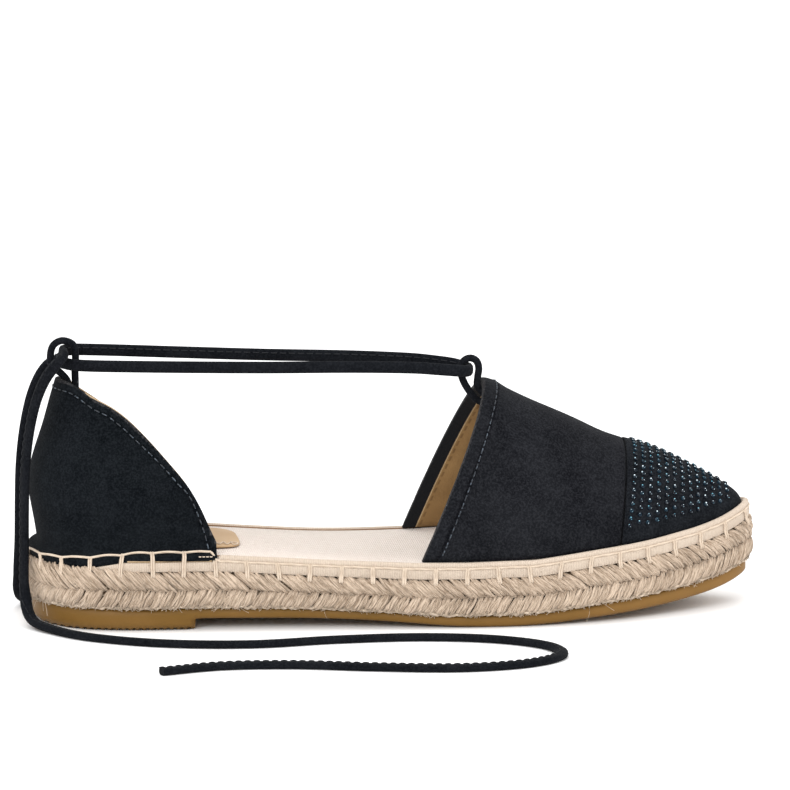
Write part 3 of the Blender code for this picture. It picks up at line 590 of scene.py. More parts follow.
TREAD_GROOVES, TREAD_START, TREAD_PITCH = 24, -74.6 * MM, 2.43 * MM
GROOVE_SIZE = (1.3 * MM, 90.0 * MM, 2.0 * MM)
bpy.ops.object.select_all(action="DESELECT")
for i in range(TREAD_GROOVES):
    at = (TREAD_START - i * TREAD_PITCH, 0, 0)
    bpy.ops.mesh.primitive_cube_add(size=1, location=at, scale=GROOVE_SIZE)
    if i == 0:
        grooves = bpy.context.object
    bpy.context.object.name = "groove"
for item in bpy.context.scene.objects:
    item.select_set(item.name.startswith("groove"))
bpy.context.view_layer.objects.active = grooves
bpy.ops.object.join()
bpy.ops.object.transform_apply(location=True, rotation=True, scale=True)
alone(outsole)
bpy.ops.object.modifier_add(type="BOOLEAN")
cut = outsole.modifiers[-1]
cut.object = grooves
cut.operation = "DIFFERENCE"
bpy.ops.object.modifier_apply(modifier=cut.name)
bpy.data.objects.remove(grooves)
for vert in outsole.data.vertices:
    if vert.co.z > outsole_top(vert.co.x) - 1.2 * MM:
        under_heel = min(max((-95 * MM - vert.co.x) / (20 * MM), 0), 1)
        vert.co.z += (0.5 + 0.7 * under_heel) * MM
bpy.ops.object.shade_smooth_by_angle(angle=math.radians(40))


# Jute midsole: a braid of loosely spun jute sewn round a jute core. Its edge shows two rows of slanting
# strands, which tuck under each other in a groove half way up.
STRAND_PITCH = 3.62 * MM
rng = np.random.default_rng(11)


def edge_points(run, height, out):
    """Points on the sole's edge, by distance from the toe, share of the jute's height and way outwards."""
    plan = plan_at(turn_at_run(run), -np.asarray(out))
    low, high = jute_bottom(plan[..., 0]), jute_top(plan[..., 0])
    return np.concatenate([plan, (low + (high - low) * height)[..., None]], axis=-1)


def jute(name, dark, light):
    """Spun jute: pale and straw-coloured fibres lying along each ply, each ply in a tone of its own."""
    made = Finish(name, Roughness=0.92, Sheen_Weight=0.1, Sheen_Roughness=0.5, Specular_IOR_Level=0.1)
    fibres = made.fibres((260, 8), 4.0, rough=0.7)
    tone = made.node("ShaderNodeTexNoise", {}, {"Vector": made.uv(), "Scale": 1.7, "Detail": 0.0})
    patches = made.noise(75, 3)
    shade = fibres.above(0.48, 0.1) * 0.6 + tone.above(0.5, 0.22) * 0.2 + patches.above(0.5, 0.2) * 0.2
    return made.finished(made.mix(shade, dark, light), fibres, 0.5 * MM)


jute_finish = jute("jute_fibre", (0.205, 0.142, 0.093), (0.650, 0.520, 0.402))
# The core is coloured darker than the braid: painted shade in the gaps between the strands, where it shows.
core_shade_finish = jute("jute_core", (0.19, 0.130, 0.078), (0.34, 0.245, 0.160))
core = refined("jute_midsole", "jute_core", 1, core_shade_finish)
for vert in core.data.vertices:
    vert.co.x, vert.co.y = vert.co.x * 0.987, vert.co.y * 0.960

ALONG = np.array([0.0, 0.07, 0.17, 0.29, 0.42, 0.56, 0.70, 0.83, 0.93, 1.0])
DEPTH = np.array([-2.1, -1.4, -0.95, -0.72, -0.62, -0.62, -0.75, -1.15, -1.8, -2.7]) * MM
FULLNESS = np.array([0.62, 0.84, 0.98, 1.04, 1.06, 1.04, 0.98, 0.86, 0.70, 0.55])
PLIES, PLY_SPREAD, PLY_TWIST, STRAND_HALF, STRAND_CROWN = 5, 1.12, 0.75, 1.46 * MM, 1.00 * MM
PLY_WIDTH, PLY_THICKNESS, PLY_WAVE, TIP_RISE, TIP_OUT = 1.2 * MM, 1.05 * MM, 0.17 * MM, 0.13, 1.7 * MM
count = round(AROUND / STRAND_PITCH)


def strands(starts, edge, middle, slant, tip):
    """One row of strands, from the sole's edge to the groove. Each is five plies that twist a little."""
    size = (len(starts), PLIES, 1)
    angle = np.linspace(-PLY_SPREAD, PLY_SPREAD, PLIES)[:, None] + PLY_TWIST * (ALONG - 0.5)
    angle = angle + rng.normal(0, 0.07, size)
    bow, lift = (rng.normal(0, spread, (len(starts), 1, 1)) * MM for spread in (0.25, 0.12))
    wave = PLY_WAVE * np.sin(9 * ALONG + rng.uniform(0, 2 * math.pi, size)) * rng.uniform(0.3, 1.3, size)
    crossing = STRAND_HALF * np.sin(angle) * FULLNESS + wave
    run = starts[:, None, None] + slant * (1 - ALONG) + bow * np.sin(ALONG * math.pi) + crossing
    height = edge + rng.normal(0, 0.025, size) + tip + (middle - edge - tip) * ALONG
    out = DEPTH + lift + STRAND_CROWN * np.cos(angle) * FULLNESS
    out = out + TIP_OUT * tip / TIP_RISE * (1 - ALONG) ** 4 + rng.normal(0, 0.08, size) * MM
    line = edge_points(run, height, out)
    outward = edge_points(run, height, out + 1 * MM) - line
    full = FULLNESS * (1 + rng.normal(0, 0.12, size))
    points, faces, maps = tube(line, outward, PLY_WIDTH * full, PLY_THICKNESS * full, sides=5, square=2.0)
    maps = maps.reshape(len(starts) * PLIES, -1, 2) + rng.uniform(0, 40, (len(starts) * PLIES, 1, 2))
    return points, faces, maps.reshape(-1, 2)


starts = np.arange(count) * AROUND / count + rng.normal(0, 0.13, count) * MM
tip_x = plan_at(turn_at_run(starts), 0)[:, 0]
tip = (TIP_RISE * np.clip((-80 * MM - tip_x) / (18 * MM), 0, 1))[:, None, None]
upper_row = strands(starts, 1.0, 0.45, 8.6 * MM, tip)
lower_row = strands(starts + 0.5 * STRAND_PITCH, 0.03, 0.555, 4.5 * MM, 0 * tip)
braid = joined("jute_braid", [upper_row, lower_row], jute_finish)
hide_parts("jute_midsole")

# Loose fibres: short pale ones mat along the braid's lower edge, finer ones stand off it all over, and a few
# are long. Each row of HAIRS is how many, their level and its spread, how far out, least and greatest length,
# fall and width.
HAIRS = (
    (3700, 0.06, 0.04, -0.4, 0.4, 1.2, 0.5, 0.20),
    (2700, 0.50, 0.24, -0.1, 0.8, 2.0, 0.0, 0.14),
    (12, 0.08, 0.01, 0.0, 3.0, 6.0, 0.9, 0.16),
)
curl = np.linspace(0, 1, 5)
hairs = []
for many, level, spread, out, short, long, fall, width in HAIRS:
    size = (many, 1)
    reach = rng.uniform(short, long, size) * MM
    roots = rng.uniform(0, AROUND, size)
    runs = roots + reach * (rng.normal(0, 0.6, size) * curl + rng.normal(0, 0.5, size) * curl**2)
    levels = np.maximum(rng.normal(level, spread, size), 0.02)
    heights = levels - reach / JUTE_HEIGHT * rng.normal(fall, 0.35, size) * curl
    line = edge_points(runs, heights, out * MM + reach * curl * rng.uniform(0.1, 0.45, size))
    line[..., 2] = np.maximum(line[..., 2], 0.4 * MM)
    points, faces, maps = tube(line, np.array([0.0, 0.3, 1.0]), width * MM, width * MM, sides=3, square=2.0)
    hairs.append((points, faces, maps + np.repeat(rng.uniform(0, 40, (many, 2)), 3 * len(curl), axis=0)))
FUZZ_POINTS = 1500
fuzz_runs = np.arange(FUZZ_POINTS) / FUZZ_POINTS * AROUND
blur = np.hanning(7) / np.hanning(7).sum()
wobble = [np.convolve(rng.normal(0, 1, FUZZ_POINTS + 6), blur, "valid") for _ in range(3)]
fuzz_path = edge_points(fuzz_runs, 0.045 + 0.03 * wobble[0], (-1.15 + 0.35 * wobble[1]) * MM)
fuzz_width = (1.5 + 0.5 * wobble[2]) * MM
hairs.append(tube(fuzz_path, UP, fuzz_width, 1.3 * MM, sides=7, cyclic=True, square=2.0))
fuzz_finish = jute("jute_fuzz", (0.34, 0.255, 0.175), (0.72, 0.60, 0.475))
joined("loose_fibres", hairs, fuzz_finish)


# Edge binding: ribbed cotton tape folded over the sole's edge, with a thin roll on top and a groove under it.
# It is cut low where the counter's foot laps over the edge.
COUNTER_FRONT = -SOLE_LENGTH / 2 + UPPER_INSET + 61.0 * MM
TAPE = (
    (0.65, -0.1), (0.42, 0.7), (0.36, 1.8), (0.42, 2.8), (0.62, 3.2), (1.15, 3.45), (0.85, 3.75),
    (0.62, 4.3), (0.70, 5.0), (1.15, 5.5), (1.90, 5.68), (2.60, 5.50), (3.02, 5.00), (3.10, 0.10),
    (2.90, -0.1),
)
tape = Finish("ribbed_tape", Roughness=0.85, Sheen_Weight=0.1, Specular_IOR_Level=0.2)
rib = tape.bands(tape.uv(), 0.62 * MM, Distortion=0.35, Detail=1.0, Detail_Scale=3.0)
weave = tape.noise(900, 3)
soil = tape.noise(45, 3)
tape_height = rib + weave * 0.6
tape_shade = rib.above(0.35, 0.3) * 0.5 + weave.above(0.5, 0.2) * 0.25 + soil.above(0.5, 0.25) * 0.25
tape_colour = tape.mix(tape_shade, (0.485, 0.39, 0.305), (0.64, 0.535, 0.435))
tape_finish = tape.finished(tape_colour, tape_height, 0.18 * MM)
TAPE_RINGS = 900
tape_runs = np.arange(TAPE_RINGS) / TAPE_RINGS * AROUND
tape_turns = turn_at_run(tape_runs)
tape_x = plan_at(tape_turns, 0)[:, 0]
tall = eased((tape_x - COUNTER_FRONT) / (2.0 * MM) + 0.4)
round_heel = np.clip((-98 * MM - tape_x) / (14 * MM), 0, 1)
rows = []
for inset, height in TAPE:
    low_height = np.minimum(height, 3.3 - 2.7 * round_heel)
    rise = (low_height + (height - low_height) * tall) * MM
    rows.append(np.column_stack([plan_at(tape_turns, inset * MM), insole_bottom(tape_x) + rise]))
tape_points = np.stack(rows, axis=1).reshape(-1, 3)
tape_faces = ring_quads(TAPE_RINGS, len(TAPE), True)[:, [0, 3, 2, 1]].tolist()
tape_maps = np.stack(np.broadcast_arrays(tape_runs[:, None], np.array(TAPE)[None, :, 1] * MM), axis=-1)
tape_parts = [(tape_points, tape_faces, tape_maps.reshape(-1, 2))]
binding = joined("edge_tape", tape_parts, tape_finish)
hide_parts("edge_binding")


# Blanket stitches: doubled cream thread, sewn by machine from the groove over the tape and into the jute.
# Between them the thread runs along the groove, and along the counter's foot where that laps over the edge.
thread = Finish("cream_thread", Roughness=0.8, Sheen_Weight=0.15, Specular_IOR_Level=0.25)
ply = thread.fibres((350, 5), 3.0, turn=0.02)
thread_colour = thread.mix(ply.above(0.5, 0.25), (0.46, 0.36, 0.27), (0.66, 0.555, 0.445))
thread_finish = thread.finished(thread_colour, ply, 0.1 * MM)
STITCH_COUNT, STITCH_START = 52, 7.4 * MM
STITCH_PITCH = AROUND / STITCH_COUNT


def edge_x(run):
    """How far along the shoe its edge is, by distance from the toe."""
    return plan_at(turn_at_run(run), 0)[:, 0]


def sole_edge(run, rise, out):
    """Points on the sole's edge, by distance from the toe, rise over the jute's top and distance outwards."""
    return np.column_stack([plan_at(turn_at_run(run), -np.asarray(out)), insole_bottom(edge_x(run)) + rise])


def heel_share(x):
    """0 ahead of the heel, rising to 1 at its back, where the thread lies lower."""
    return np.clip((-92 * MM - x) / (32 * MM), 0, 1)


threads = []
for i in range(STITCH_COUNT):
    run = STITCH_START + i * STITCH_PITCH
    here = edge_x([run])[0]
    lapped = here < COUNTER_FRONT - 1 * MM
    rise = np.array([3.6, 3.6, 3.0, 1.8, 0.6, -0.6, -1.7, -2.4]) * MM
    out = np.array([-1.7, -0.5, 0.0, 0.02, 0.02, 0.45, 0.6, -1.2]) * MM
    if lapped:
        heel = heel_share(here)
        rise = np.array([6.5, 6.2, 5.2, 4.2, 2.4, 0.2, -1.4, -2.2]) * MM
        rise = rise - np.array([2.6, 2.4, 1.6, 1.0, 0, 0, 0, 0]) * MM * heel
        out = np.array([-2.9 + 1.9 * heel, -1.4 + 1.2 * heel, 0.0, 0.1, 0.05, 0.45, 0.6, -1.2]) * MM
    slant = rng.normal(0, 0.4) * MM
    for lane in (-0.37, 0.37):
        runs = run + np.full(len(rise), lane * MM) + np.linspace(slant, -slant, len(rise))
        line = smooth_route(sole_edge(runs, rise, out), 0.5 * MM)
        away = line - line.mean(axis=0) * (0, 0, 1)
        away[:, 2] = 0.2 * MM
        threads.append(tube(line, away, 0.94 * MM, 0.75 * MM, sides=6, square=2.1))
    ends = np.linspace(0, 1, 9)
    arch = np.sin(ends * math.pi)
    along = run + ends * STITCH_PITCH
    over = np.clip((COUNTER_FRONT - edge_x(along)) / (2 * MM), 0, 1)
    rise = (3.5 + 0.12 * arch) * MM + over * (2.9 + 0.35 * arch - 2.6 * heel_share(edge_x(along))) * MM
    on_band = -0.05 * MM - 1.95 * np.clip(rise - 5.3 * MM, 0, 1.1 * MM) / 1.1
    out = (1 - over) * (-0.75 + 0.15 * arch) * MM + over * on_band
    line = smooth_route(sole_edge(along, rise, out), 0.8 * MM)
    threads.append(tube(line, UP, 0.85 * MM, 0.85 * MM, sides=6, square=2.1))
joined("blanket_stitches", threads, thread_finish)


# Insole: a fibre board covered in finely ribbed canvas, with a thin brown line round its edge over the tape
# as painted shadow in the seam there. A thin tan leather pad is sewn on its heel and left plain.
canvas = Finish("insole_canvas", Roughness=0.9, Sheen_Weight=0.1, Specular_IOR_Level=0.15)
warp = canvas.bands(canvas.place, 0.75 * MM, Distortion=0.25, Detail=1.0)
slub = canvas.noise(500, 3)
canvas_clouds = canvas.noise(28, 3)
canvas_shade = warp.above(0.4, 0.35) * 0.4 + slub.above(0.5, 0.2) * 0.3 + canvas_clouds.above(0.5, 0.25) * 0.3
canvas_colour = canvas.mix(canvas_shade, (0.60, 0.525, 0.465), (0.73, 0.655, 0.60))
canvas_finish = canvas.finished(canvas_colour, warp + slub * 0.5, 0.12 * MM)
footbed = refined("insole", "canvas_footbed", 2, canvas_finish, crease=0.9)
# A thin brown tube round the insole's top edge, over the tape: painted shadow where the insole meets the
# tape's roll.
shadow_line = Finish("painted_shadow_line", Roughness=0.8, Specular_IOR_Level=0.2)
shadow_line_grain = shadow_line.noise(400, 2)
shadow_line_colour = shadow_line.mix(shadow_line_grain, (0.16, 0.085, 0.040), (0.30, 0.18, 0.095))
shadow_line_finish = shadow_line.finished(shadow_line_colour, shadow_line_grain, 0.1 * MM)
RIM_RINGS = 720
rim_plan = plan_at(turn_at_run(np.arange(RIM_RINGS) / RIM_RINGS * AROUND), UPPER_INSET - 0.02 * MM)
rim = np.column_stack([rim_plan, insole_top(rim_plan[:, 0]) - 0.12 * MM])
rim_tube = tube(rim, UP, 0.5 * MM, 0.5 * MM, sides=6, cyclic=True, square=2.0)
joined("painted_shadow_line", [rim_tube], shadow_line_finish)



def clouded(name, dark, light, clouds, grain, relief, **constants):
    """A plain finish: two tones in soft clouds and a fine grain."""
    made = Finish(name, **constants)
    tone = made.noise(clouds, 3).above(0.5, 0.25)
    return made.finished(made.mix(tone, dark, light), made.noise(grain, 3), relief)


PAD_DARK, PAD_LIGHT = (0.42, 0.275, 0.145), (0.50, 0.345, 0.200)
gloss = {"Roughness": 0.55, "Specular_IOR_Level": 0.35}
sock_finish = clouded("tan_leather", PAD_DARK, PAD_LIGHT, 60, 700, 0.08 * MM, **gloss)
pad = refined("heel_pad", "heel_sock_pad", 2, sock_finish, crease=0.8)


def surface(piece):
    """Finder of points on a piece's surface."""
    bpy.context.view_layer.update()
    return BVHTree.FromObject(piece, bpy.context.evaluated_depsgraph_get())


pad_skin, bed_skin = surface(pad), surface(footbed)
pad_corner = max((vert.co for vert in pad.data.vertices), key=lambda spot: spot.x - 0.8 * spot.y)
PAD_THREADS = (
    (-9.5, -0.3), (-7.4, 2.2), (-6.0, -0.9), (-4.3, 2.8), (-3.4, -0.9), (-1.6, 2.4), (-0.9, -0.8),
    (0.8, 1.9), (-1.8, 3.7),
)
DOWN = Vector((0, 0, -1))
pad_spots = []
for x, y in PAD_THREADS:
    above = Vector((pad_corner.x + x * MM, pad_corner.y + y * MM, 0.06))
    hit = pad_skin.ray_cast(above, DOWN)[0] or bed_skin.ray_cast(above, DOWN)[0]
    pad_spots.append((hit.x, hit.y, hit.z + 0.25 * MM))
pad_tube = tube(smooth_route(pad_spots, 0.3 * MM), UP, 0.42 * MM, 0.35 * MM, sides=6)
joined("pad_thread", [pad_tube], thread_finish)


# Vamp: black suede over a camel lining, standing on the insole and closed at the toe. A casing is folded and
# sewn along its open rear edge, and the suede is turned in there over the lining.
VAMP_LENGTH, CASING_STITCH, CASING_TROUGH, TURNED_IN = 92.0 * MM, 3.9 * MM, 4.8 * MM, 4.3 * MM
TOPLINE_SLOPE, LEAN_ENDS_AT, TOE_CAP_LENGTH = 0.443, 0.8, 42.5 * MM
RIDGE_END = np.array([33.7, 0, 82.4]) * MM
EDGE_SQUARE = 1 / math.hypot(1, TOPLINE_SLOPE)


def inner_faces(piece, finish, axis, flat):
    """Gives the faces that look towards an axis point a second finish, the lining's."""
    piece.data.materials.append(finish)
    for face in piece.data.polygons:
        out = (np.array(face.center) - axis) * flat
        face.material_index = int(np.dot(face.normal, out) / np.linalg.norm(out) < -0.3)


def leaning_row(finder, forward, start_angle=0.0, end_angle=math.pi):
    """Points and normals on the vamp's outside along one section, which leans as the topline does."""
    at = RIDGE_END[0] + forward * VAMP_LENGTH
    top = finder.ray_cast(Vector((at, 0, 0.2)), DOWN)[0]
    lean = TOPLINE_SLOPE * max(0, 1 - forward / LEAN_ENDS_AT)
    foot = insole_top(at) + 1 * MM
    middle = np.array([at - lean * (top.z - foot), 0, foot])
    points, normals = [], []
    for angle in np.linspace(start_angle, end_angle, 361):
        out = np.array([lean * math.sin(angle), -math.cos(angle), math.sin(angle)])
        hit = finder.ray_cast(Vector(middle + out * 0.15), Vector(-out))
        if hit[0] is not None and np.linalg.norm(np.array(hit[0]) - middle) > 2 * MM:
            points.append(hit[0])
            normals.append(hit[1])
    return np.array(points), np.array(normals)


vamp_cloth = suede("vamp_suede", (0.0028, 0.0032, 0.0045), (0.0195, 0.0205, 0.0240), CASING_TROUGH)
lining = Finish("camel_lining", Roughness=0.85, Sheen_Weight=0.1, Specular_IOR_Level=0.2)
lining_x, lining_z = (lining.coordinate(lining.place, axis) for axis in (0, 2))
from_edge = (lining_x - RIDGE_END[0] + (RIDGE_END[2] - lining_z) * TOPLINE_SLOPE) * EDGE_SQUARE
camel_grain = lining.noise(900, 3)
camel = lining.mix(lining.noise(60, 3).above(0.5, 0.25), (0.21, 0.120, 0.046), (0.32, 0.195, 0.080))
row_end = from_edge.above(TURNED_IN + 1.7 * MM, 0.15 * MM)
row = from_edge.above(TURNED_IN + 1.0 * MM, 0.15 * MM) * (1 - row_end)
dashes = lining_z.math("FRACT", lining_z * (1 / (2.9 * MM))).above(0.38, 0.08)
camel = lining.mix(row * dashes * 0.6, camel, (0.11, 0.055, 0.02))
piping = from_edge.above(TURNED_IN, 0.1 * MM) * (1 - from_edge.above(TURNED_IN + 0.45 * MM, 0.1 * MM))
camel = lining.mix(piping, camel, (0.50, 0.36, 0.20))
inside = lining.mix(from_edge.above(TURNED_IN, 0.12 * MM), (0.004, 0.0045, 0.006), camel)
lining_finish = lining.finished(inside, camel_grain + from_edge.above(TURNED_IN, 0.3 * MM) * -2.0, 0.15 * MM)


def places(piece):
    """All of a piece's points."""
    spots = np.empty(len(piece.data.vertices) * 3, np.float32)
    piece.data.vertices.foreach_get("co", spots)
    return spots.reshape(-1, 3).astype(float)


def crease(piece, first, last, width, depth):
    """A soft trough with a low ridge behind it, worn into both sides from one (x, z) to another."""
    spots = places(piece)
    first, last = np.array(first) * MM, np.array(last) * MM
    length = np.linalg.norm(last - first)
    ahead = (last - first) / length
    off = spots[:, (0, 2)] - first
    u, v = off @ ahead / length, off @ (ahead[1], -ahead[0]) / width
    amount = depth * np.clip(1 - (2 * u - 1) ** 4, 0, 1) * (np.exp(-v * v) - 0.45 * np.exp(-((v + 1.9) ** 2)))
    spots[:, 1] -= np.clip(spots[:, 1] / (6 * MM), -1, 0.6) * amount
    piece.data.vertices.foreach_set("co", spots.astype(np.float32).ravel())
    piece.data.update()


def mark(piece, name, values):
    """Keeps a number at each of a piece's points, for its material."""
    piece.data.attributes.new(name, "FLOAT", "POINT").data.foreach_set("value", values.astype(np.float32))


vamp = refined("vamp", "suede_vamp", 2, vamp_cloth, crease=0.55, sharp=40)
crease(vamp, (39.4, 75), (20.3, 31), 1.9 * MM, 0.40 * MM)
crease(vamp, (70, 56), (52, 36), 5.0 * MM, 0.45 * MM)
crease(vamp, (84, 50), (76, 30), 4.0 * MM, 0.30 * MM)
spots = places(vamp)
behind = spots[:, 0] - RIDGE_END[0] + (RIDGE_END[2] - spots[:, 2]) * TOPLINE_SLOPE
mark(vamp, "from_edge", behind * EDGE_SQUARE)
inner_faces(vamp, lining_finish, np.array([0, 0, 30 * MM]), (0, 1, 1))
vamp_skin = surface(vamp)
stitch_thread = Finish("grey_thread", Roughness=0.55, Specular_IOR_Level=0.5)
glint = stitch_thread.noise(1100, 2)
thread_shade = stitch_thread.mix(glint.above(0.56, 0.08), (0.009, 0.012, 0.017), (0.060, 0.078, 0.100))
stitch_finish = stitch_thread.finished(thread_shade, glint, 0.1 * MM)
casing_line = leaning_row(vamp_skin, CASING_STITCH / EDGE_SQUARE / VAMP_LENGTH, 0.045, math.pi - 0.045)
casing_row = stitches(even_row(*casing_line, 3.0 * MM, 1.0 * MM), 2.0 * MM, 0.5 * MM, 0.3 * MM)
joined("casing_stitches", [casing_row], stitch_finish)


# Toe cap: the same suede laid over the toe from a cross seam, set with small dark stones in even rows.
# The stones are glued faceted glass, and a plain rim is left along the seam and the sole.
STONE_COLUMNS, COLUMN_PITCH, STONE_PITCH, STONE_WIDTH, STONE_LEAN = 13, 2.85 * MM, 2.6 * MM, 1.6 * MM, 0.07
SEAM_RIM, SIDE_RIM, STONE_LIFT = 3.4 * MM, 4.2 * MM, 0.12 * MM
cap_cloth = suede("cap_suede", (0.0028, 0.0036, 0.0050), (0.0165, 0.0185, 0.0220))
toe_cap = refined("toe_cap", "suede_toe_cap", 2, cap_cloth, crease=0.55, sharp=40)
cap_skin = surface(toe_cap)

bpy.ops.object.select_all(action="DESELECT")
bpy.ops.mesh.primitive_cylinder_add(vertices=8, radius=0.5, depth=1.0, end_fill_type="NGON")
stone = bpy.context.object
bpy.ops.object.mode_set(mode="EDIT")
bpy.ops.mesh.select_all(action="DESELECT")
bpy.ops.object.mode_set(mode="OBJECT")
for face in stone.data.polygons:
    face.select = face.normal.z > 0.9
bpy.ops.object.mode_set(mode="EDIT")
bpy.ops.mesh.select_mode(type="FACE")
bpy.ops.mesh.inset(thickness=0.17, depth=0.30)
bpy.ops.object.mode_set(mode="OBJECT")
stone_points = np.array([v.co for v in stone.data.vertices]) * (1, 1, 0.42)
stone_faces = [tuple(face.vertices) for face in stone.data.polygons]
bpy.data.objects.remove(stone)


def set_stone(size, axes, spot):
    """One stone's points and faces at its place, and a map that gives it a tint of its own."""
    return stone_points * size @ axes + spot, stone_faces, np.full((len(stone_points), 2), rng.uniform())


stones, glints = [], []
seam_forward = 1 - TOE_CAP_LENGTH / VAMP_LENGTH
glint_side = np.array([-0.25, -0.35, 0.9])
for column in range(STONE_COLUMNS):
    forward = seam_forward + (SEAM_RIM + column * COLUMN_PITCH) / VAMP_LENGTH
    points, normals = leaning_row(cap_skin, forward, 0.02, math.pi - 0.02)
    start = SIDE_RIM + 0.5 * ((distances(points)[-1] - 2 * SIDE_RIM) % STONE_PITCH)
    for at, along, up in zip(*even_row(points, normals, STONE_PITCH, start)):
        lean = (at[2] - insole_top(at[0]) - 25 * MM) * STONE_LEAN
        hit = cap_skin.ray_cast(Vector(at + up * 5 * MM + (lean, 0, 0)), Vector(-up))
        if hit[0] is None or hit[0].z < insole_top(hit[0].x) + 0.75 * SIDE_RIM:
            continue
        at, up = np.array(hit[0]), np.array(hit[1])
        up = unit(up + rng.normal(0, 0.10, 3))
        side = np.cross(up, along)
        turned = rng.uniform(0, math.pi)
        first = along * math.cos(turned) + side * math.sin(turned)
        second = np.cross(up, first)
        axes = np.stack([unit(first), unit(second), up])
        wide = STONE_WIDTH * rng.uniform(0.92, 1.06)
        stones.append(set_stone(wide, axes, at + up * STONE_LIFT))
        sky = unit(glint_side - up * np.dot(glint_side, up))
        for reach, size in ((0.30, rng.choice((0.20, 0.28, 0.46))), (-0.26, rng.choice((0.0, 0.18, 0.26)))):
            if size:
                across = sky * reach * wide + side * rng.normal(0, 0.12) * MM
                glints.append(set_stone(size * MM, axes, at + up * (STONE_LIFT + wide * 0.36) + across))
glass = Finish("dark_stones", Roughness=0.22, Specular_IOR_Level=0.18)
tint = glass.coordinate(glass.uv(), 0).above(0.55, 0.35)
glass_colour = glass.mix(tint, (0.002, 0.005, 0.010), (0.004, 0.017, 0.029))
glass_finish = glass.finished(glass_colour, glass.noise(600, 1), 0.02 * MM)
stone_piece = joined("toe_stones", stones, glass_finish)
bpy.context.view_layer.objects.active = stone_piece
bpy.ops.object.shade_flat()
bright = Finish("stone_glints", Roughness=0.3, Specular_IOR_Level=0.6)
tint = bright.coordinate(bright.uv(), 0).above(0.45, 0.3)
bright_colour = bright.mix(tint, (0.10, 0.32, 0.42), (0.70, 0.82, 0.88))
bright_finish = bright.finished(bright_colour, bright.noise(500, 1), 0.02 * MM)
joined("stone_glints", glints, bright_finish)


# Counter: black suede over a pale tan lining, folded over and sewn along its top edge.
# Its foot flares over the sole's edge as a band, under the blanket stitches.
COUNTER_LENGTH, COUNTER_HEIGHT, TOPLINE_STITCH = 61.0 * MM, 58.8 * MM, 2.6 * MM
COUNTER_TOPLINE = np.transpose(
    (
        (0.000, 1.000, 1.000), (0.055, 0.997, 0.985), (0.177, 0.950, 0.908), (0.275, 0.908, 0.846),
        (0.381, 0.865, 0.780), (0.463, 0.808, 0.714), (0.548, 0.738, 0.638), (0.657, 0.637, 0.538),
        (0.785, 0.495, 0.420), (0.885, 0.363, 0.308), (0.939, 0.233, 0.203), (0.967, 0.145, 0.135),
        (1.000, 0.075, 0.075),
    )
)
counter_cloth = suede("counter_suede", (0.0014, 0.0022, 0.0032), (0.0112, 0.0134, 0.0160), TOPLINE_STITCH)
TAN_DARK, TAN_LIGHT = (0.36, 0.25, 0.145), (0.46, 0.335, 0.205)
gloss = {"Roughness": 0.85, "Sheen_Weight": 0.1, "Specular_IOR_Level": 0.2}
counter_lining = clouded("counter_lining", TAN_DARK, TAN_LIGHT, 50, 800, 0.15 * MM, **gloss)
counter = refined("counter", "suede_counter", 3, counter_cloth, crease=0.6, sharp=45)
BAND_SHARE, HEEL_BAND_SHARE, BAND_END_ROUND = 0.52, 1.1, 4.0 * MM
for vert in counter.data.vertices:
    seat = insole_top(vert.co.x) + SEAT_GAP
    end = min(max((vert.co.x - COUNTER_FRONT) / BAND_END_ROUND + 1, 0), 1)
    round_back = min(max((-97 * MM - vert.co.x) / (12 * MM), 0), 1)
    share = BAND_SHARE + (HEEL_BAND_SHARE - BAND_SHARE) * round_back
    if vert.co.z < seat:
        vert.co.z = seat - (seat - vert.co.z) * share * math.sqrt(1 - 0.9 * end * end)
crease(counter, (-92, 39.5), (-66, 36.0), 1.9 * MM, 0.55 * MM)
crease(counter, (-86, 45.5), (-70, 42.5), 1.7 * MM, 0.35 * MM)
crease(counter, (-104, 60), (-96, 42), 4.5 * MM, 0.40 * MM)
inner_faces(counter, counter_lining, np.array([-64.6 * MM, 0, 0]), (1, 1, 0))
counter_skin = surface(counter)
HALF_OUTLINE = len(FINE_TURNS) // 2


def side_turns(x):
    """Turns of the outline where it passes each x on the big toe side."""
    return np.interp(x, FINE_OUTLINE[HALF_OUTLINE:, 0], FINE_TURNS[HALF_OUTLINE:])


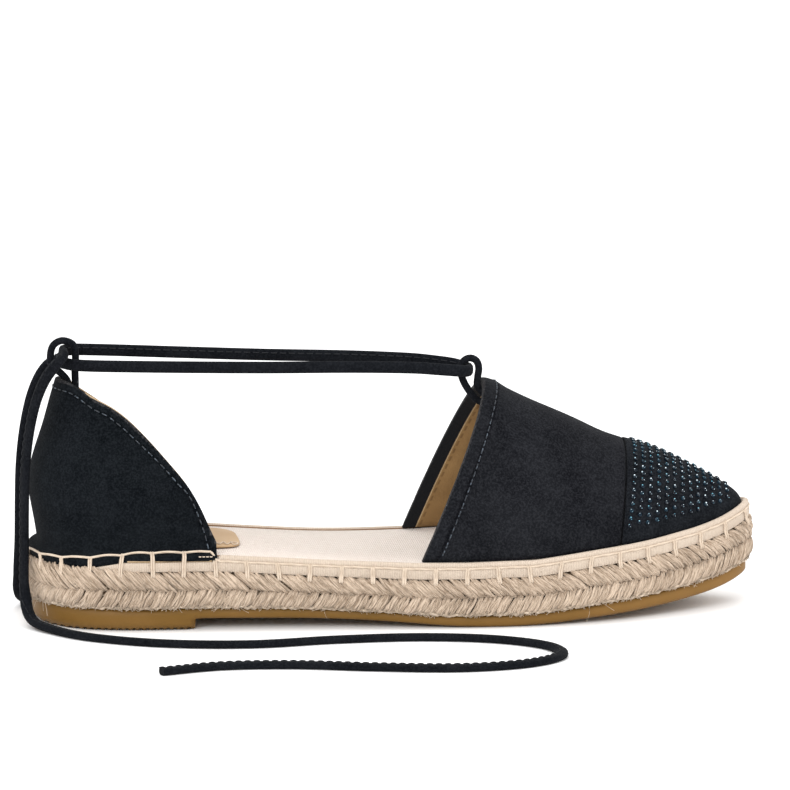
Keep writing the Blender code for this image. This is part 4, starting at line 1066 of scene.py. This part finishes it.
turns = np.linspace(-side_turns(COUNTER_FRONT), side_turns(COUNTER_FRONT), 501)
foot = plan_at(turns, UPPER_INSET)
forward = np.clip((foot[:, 0] + SOLE_LENGTH / 2 - UPPER_INSET) / COUNTER_LENGTH, 0, 1)
share = [curve_through(COUNTER_TOPLINE[0], COUNTER_TOPLINE[k], forward) for k in (1, 2)]
top = insole_top(foot[:, 0]) + COUNTER_HEIGHT * np.where(turns < 0, *share)
steepness = np.hypot(1, np.gradient(top, distances(foot)))
below = top - TOPLINE_STITCH * steepness
inwards = unit(between(turns, FINE_TURNS, FINE_INWARD))
spots = places(counter)
nearest = np.argmin(np.linalg.norm(spots[:, None, :2] - foot[None, ::4], axis=-1), axis=1) * 4
mark(counter, "from_edge", (top[nearest] - spots[:, 2]) / steepness[nearest])
points, normals = [], []
for place, height, inward in zip(foot, below, inwards):
    if height < insole_top(place[0]) + 3 * MM:
        continue
    ray = Vector((*inward, 0))
    hit = counter_skin.ray_cast(Vector((*place, height)) - ray * 0.05, ray)
    if hit[0] is not None:
        points.append(hit[0])
        normals.append(hit[1])
topline_row = even_row(np.array(points), np.array(normals), 3.05 * MM)
topline_parts = [stitches(topline_row, 1.8 * MM, 0.5 * MM, 0.25 * MM)]
joined("topline_stitches", topline_parts, stitch_finish)

# The lining's edge shows under the front of the counter's foot band, and a short row of cream stitches closes
# each end of the band.
LINING_SHOWS = (2 * MM, 32 * MM)
TACKS_FROM, TACKS_TO = 1.9 * MM, 6.9 * MM
edges, tacks = [], []
for side in (-1, 1):
    edge_turns = side * side_turns(COUNTER_FRONT - np.linspace(*LINING_SHOWS, 60))
    edge_plan = plan_at(edge_turns, 0.75 * MM)
    edge_line = np.column_stack([edge_plan, insole_bottom(edge_plan[:, 0]) + 3.85 * MM])
    edges.append(tube(edge_line, UP, 0.9 * MM, 1.0 * MM, sides=8))
    tack_turns = side * side_turns(COUNTER_FRONT - np.linspace(TACKS_FROM, TACKS_TO, 40))
    tack_plan = plan_at(tack_turns, 0.42 * MM)
    tack_line = np.column_stack([tack_plan, insole_top(tack_plan[:, 0]) + 0.1 * MM])
    outwards = np.column_stack([tack_plan - plan_at(tack_turns, 1.42 * MM), np.zeros(len(tack_plan))])
    tack_row = even_row(tack_line, outwards, 1.3 * MM, 0.4 * MM)
    tacks.append(stitches(tack_row, 0.95 * MM, 0.42 * MM, 0.3 * MM))
joined("lining_edge", edges, counter_lining)
joined("band_end_stitches", tacks, thread_finish)


bpy.context.view_layer.update()
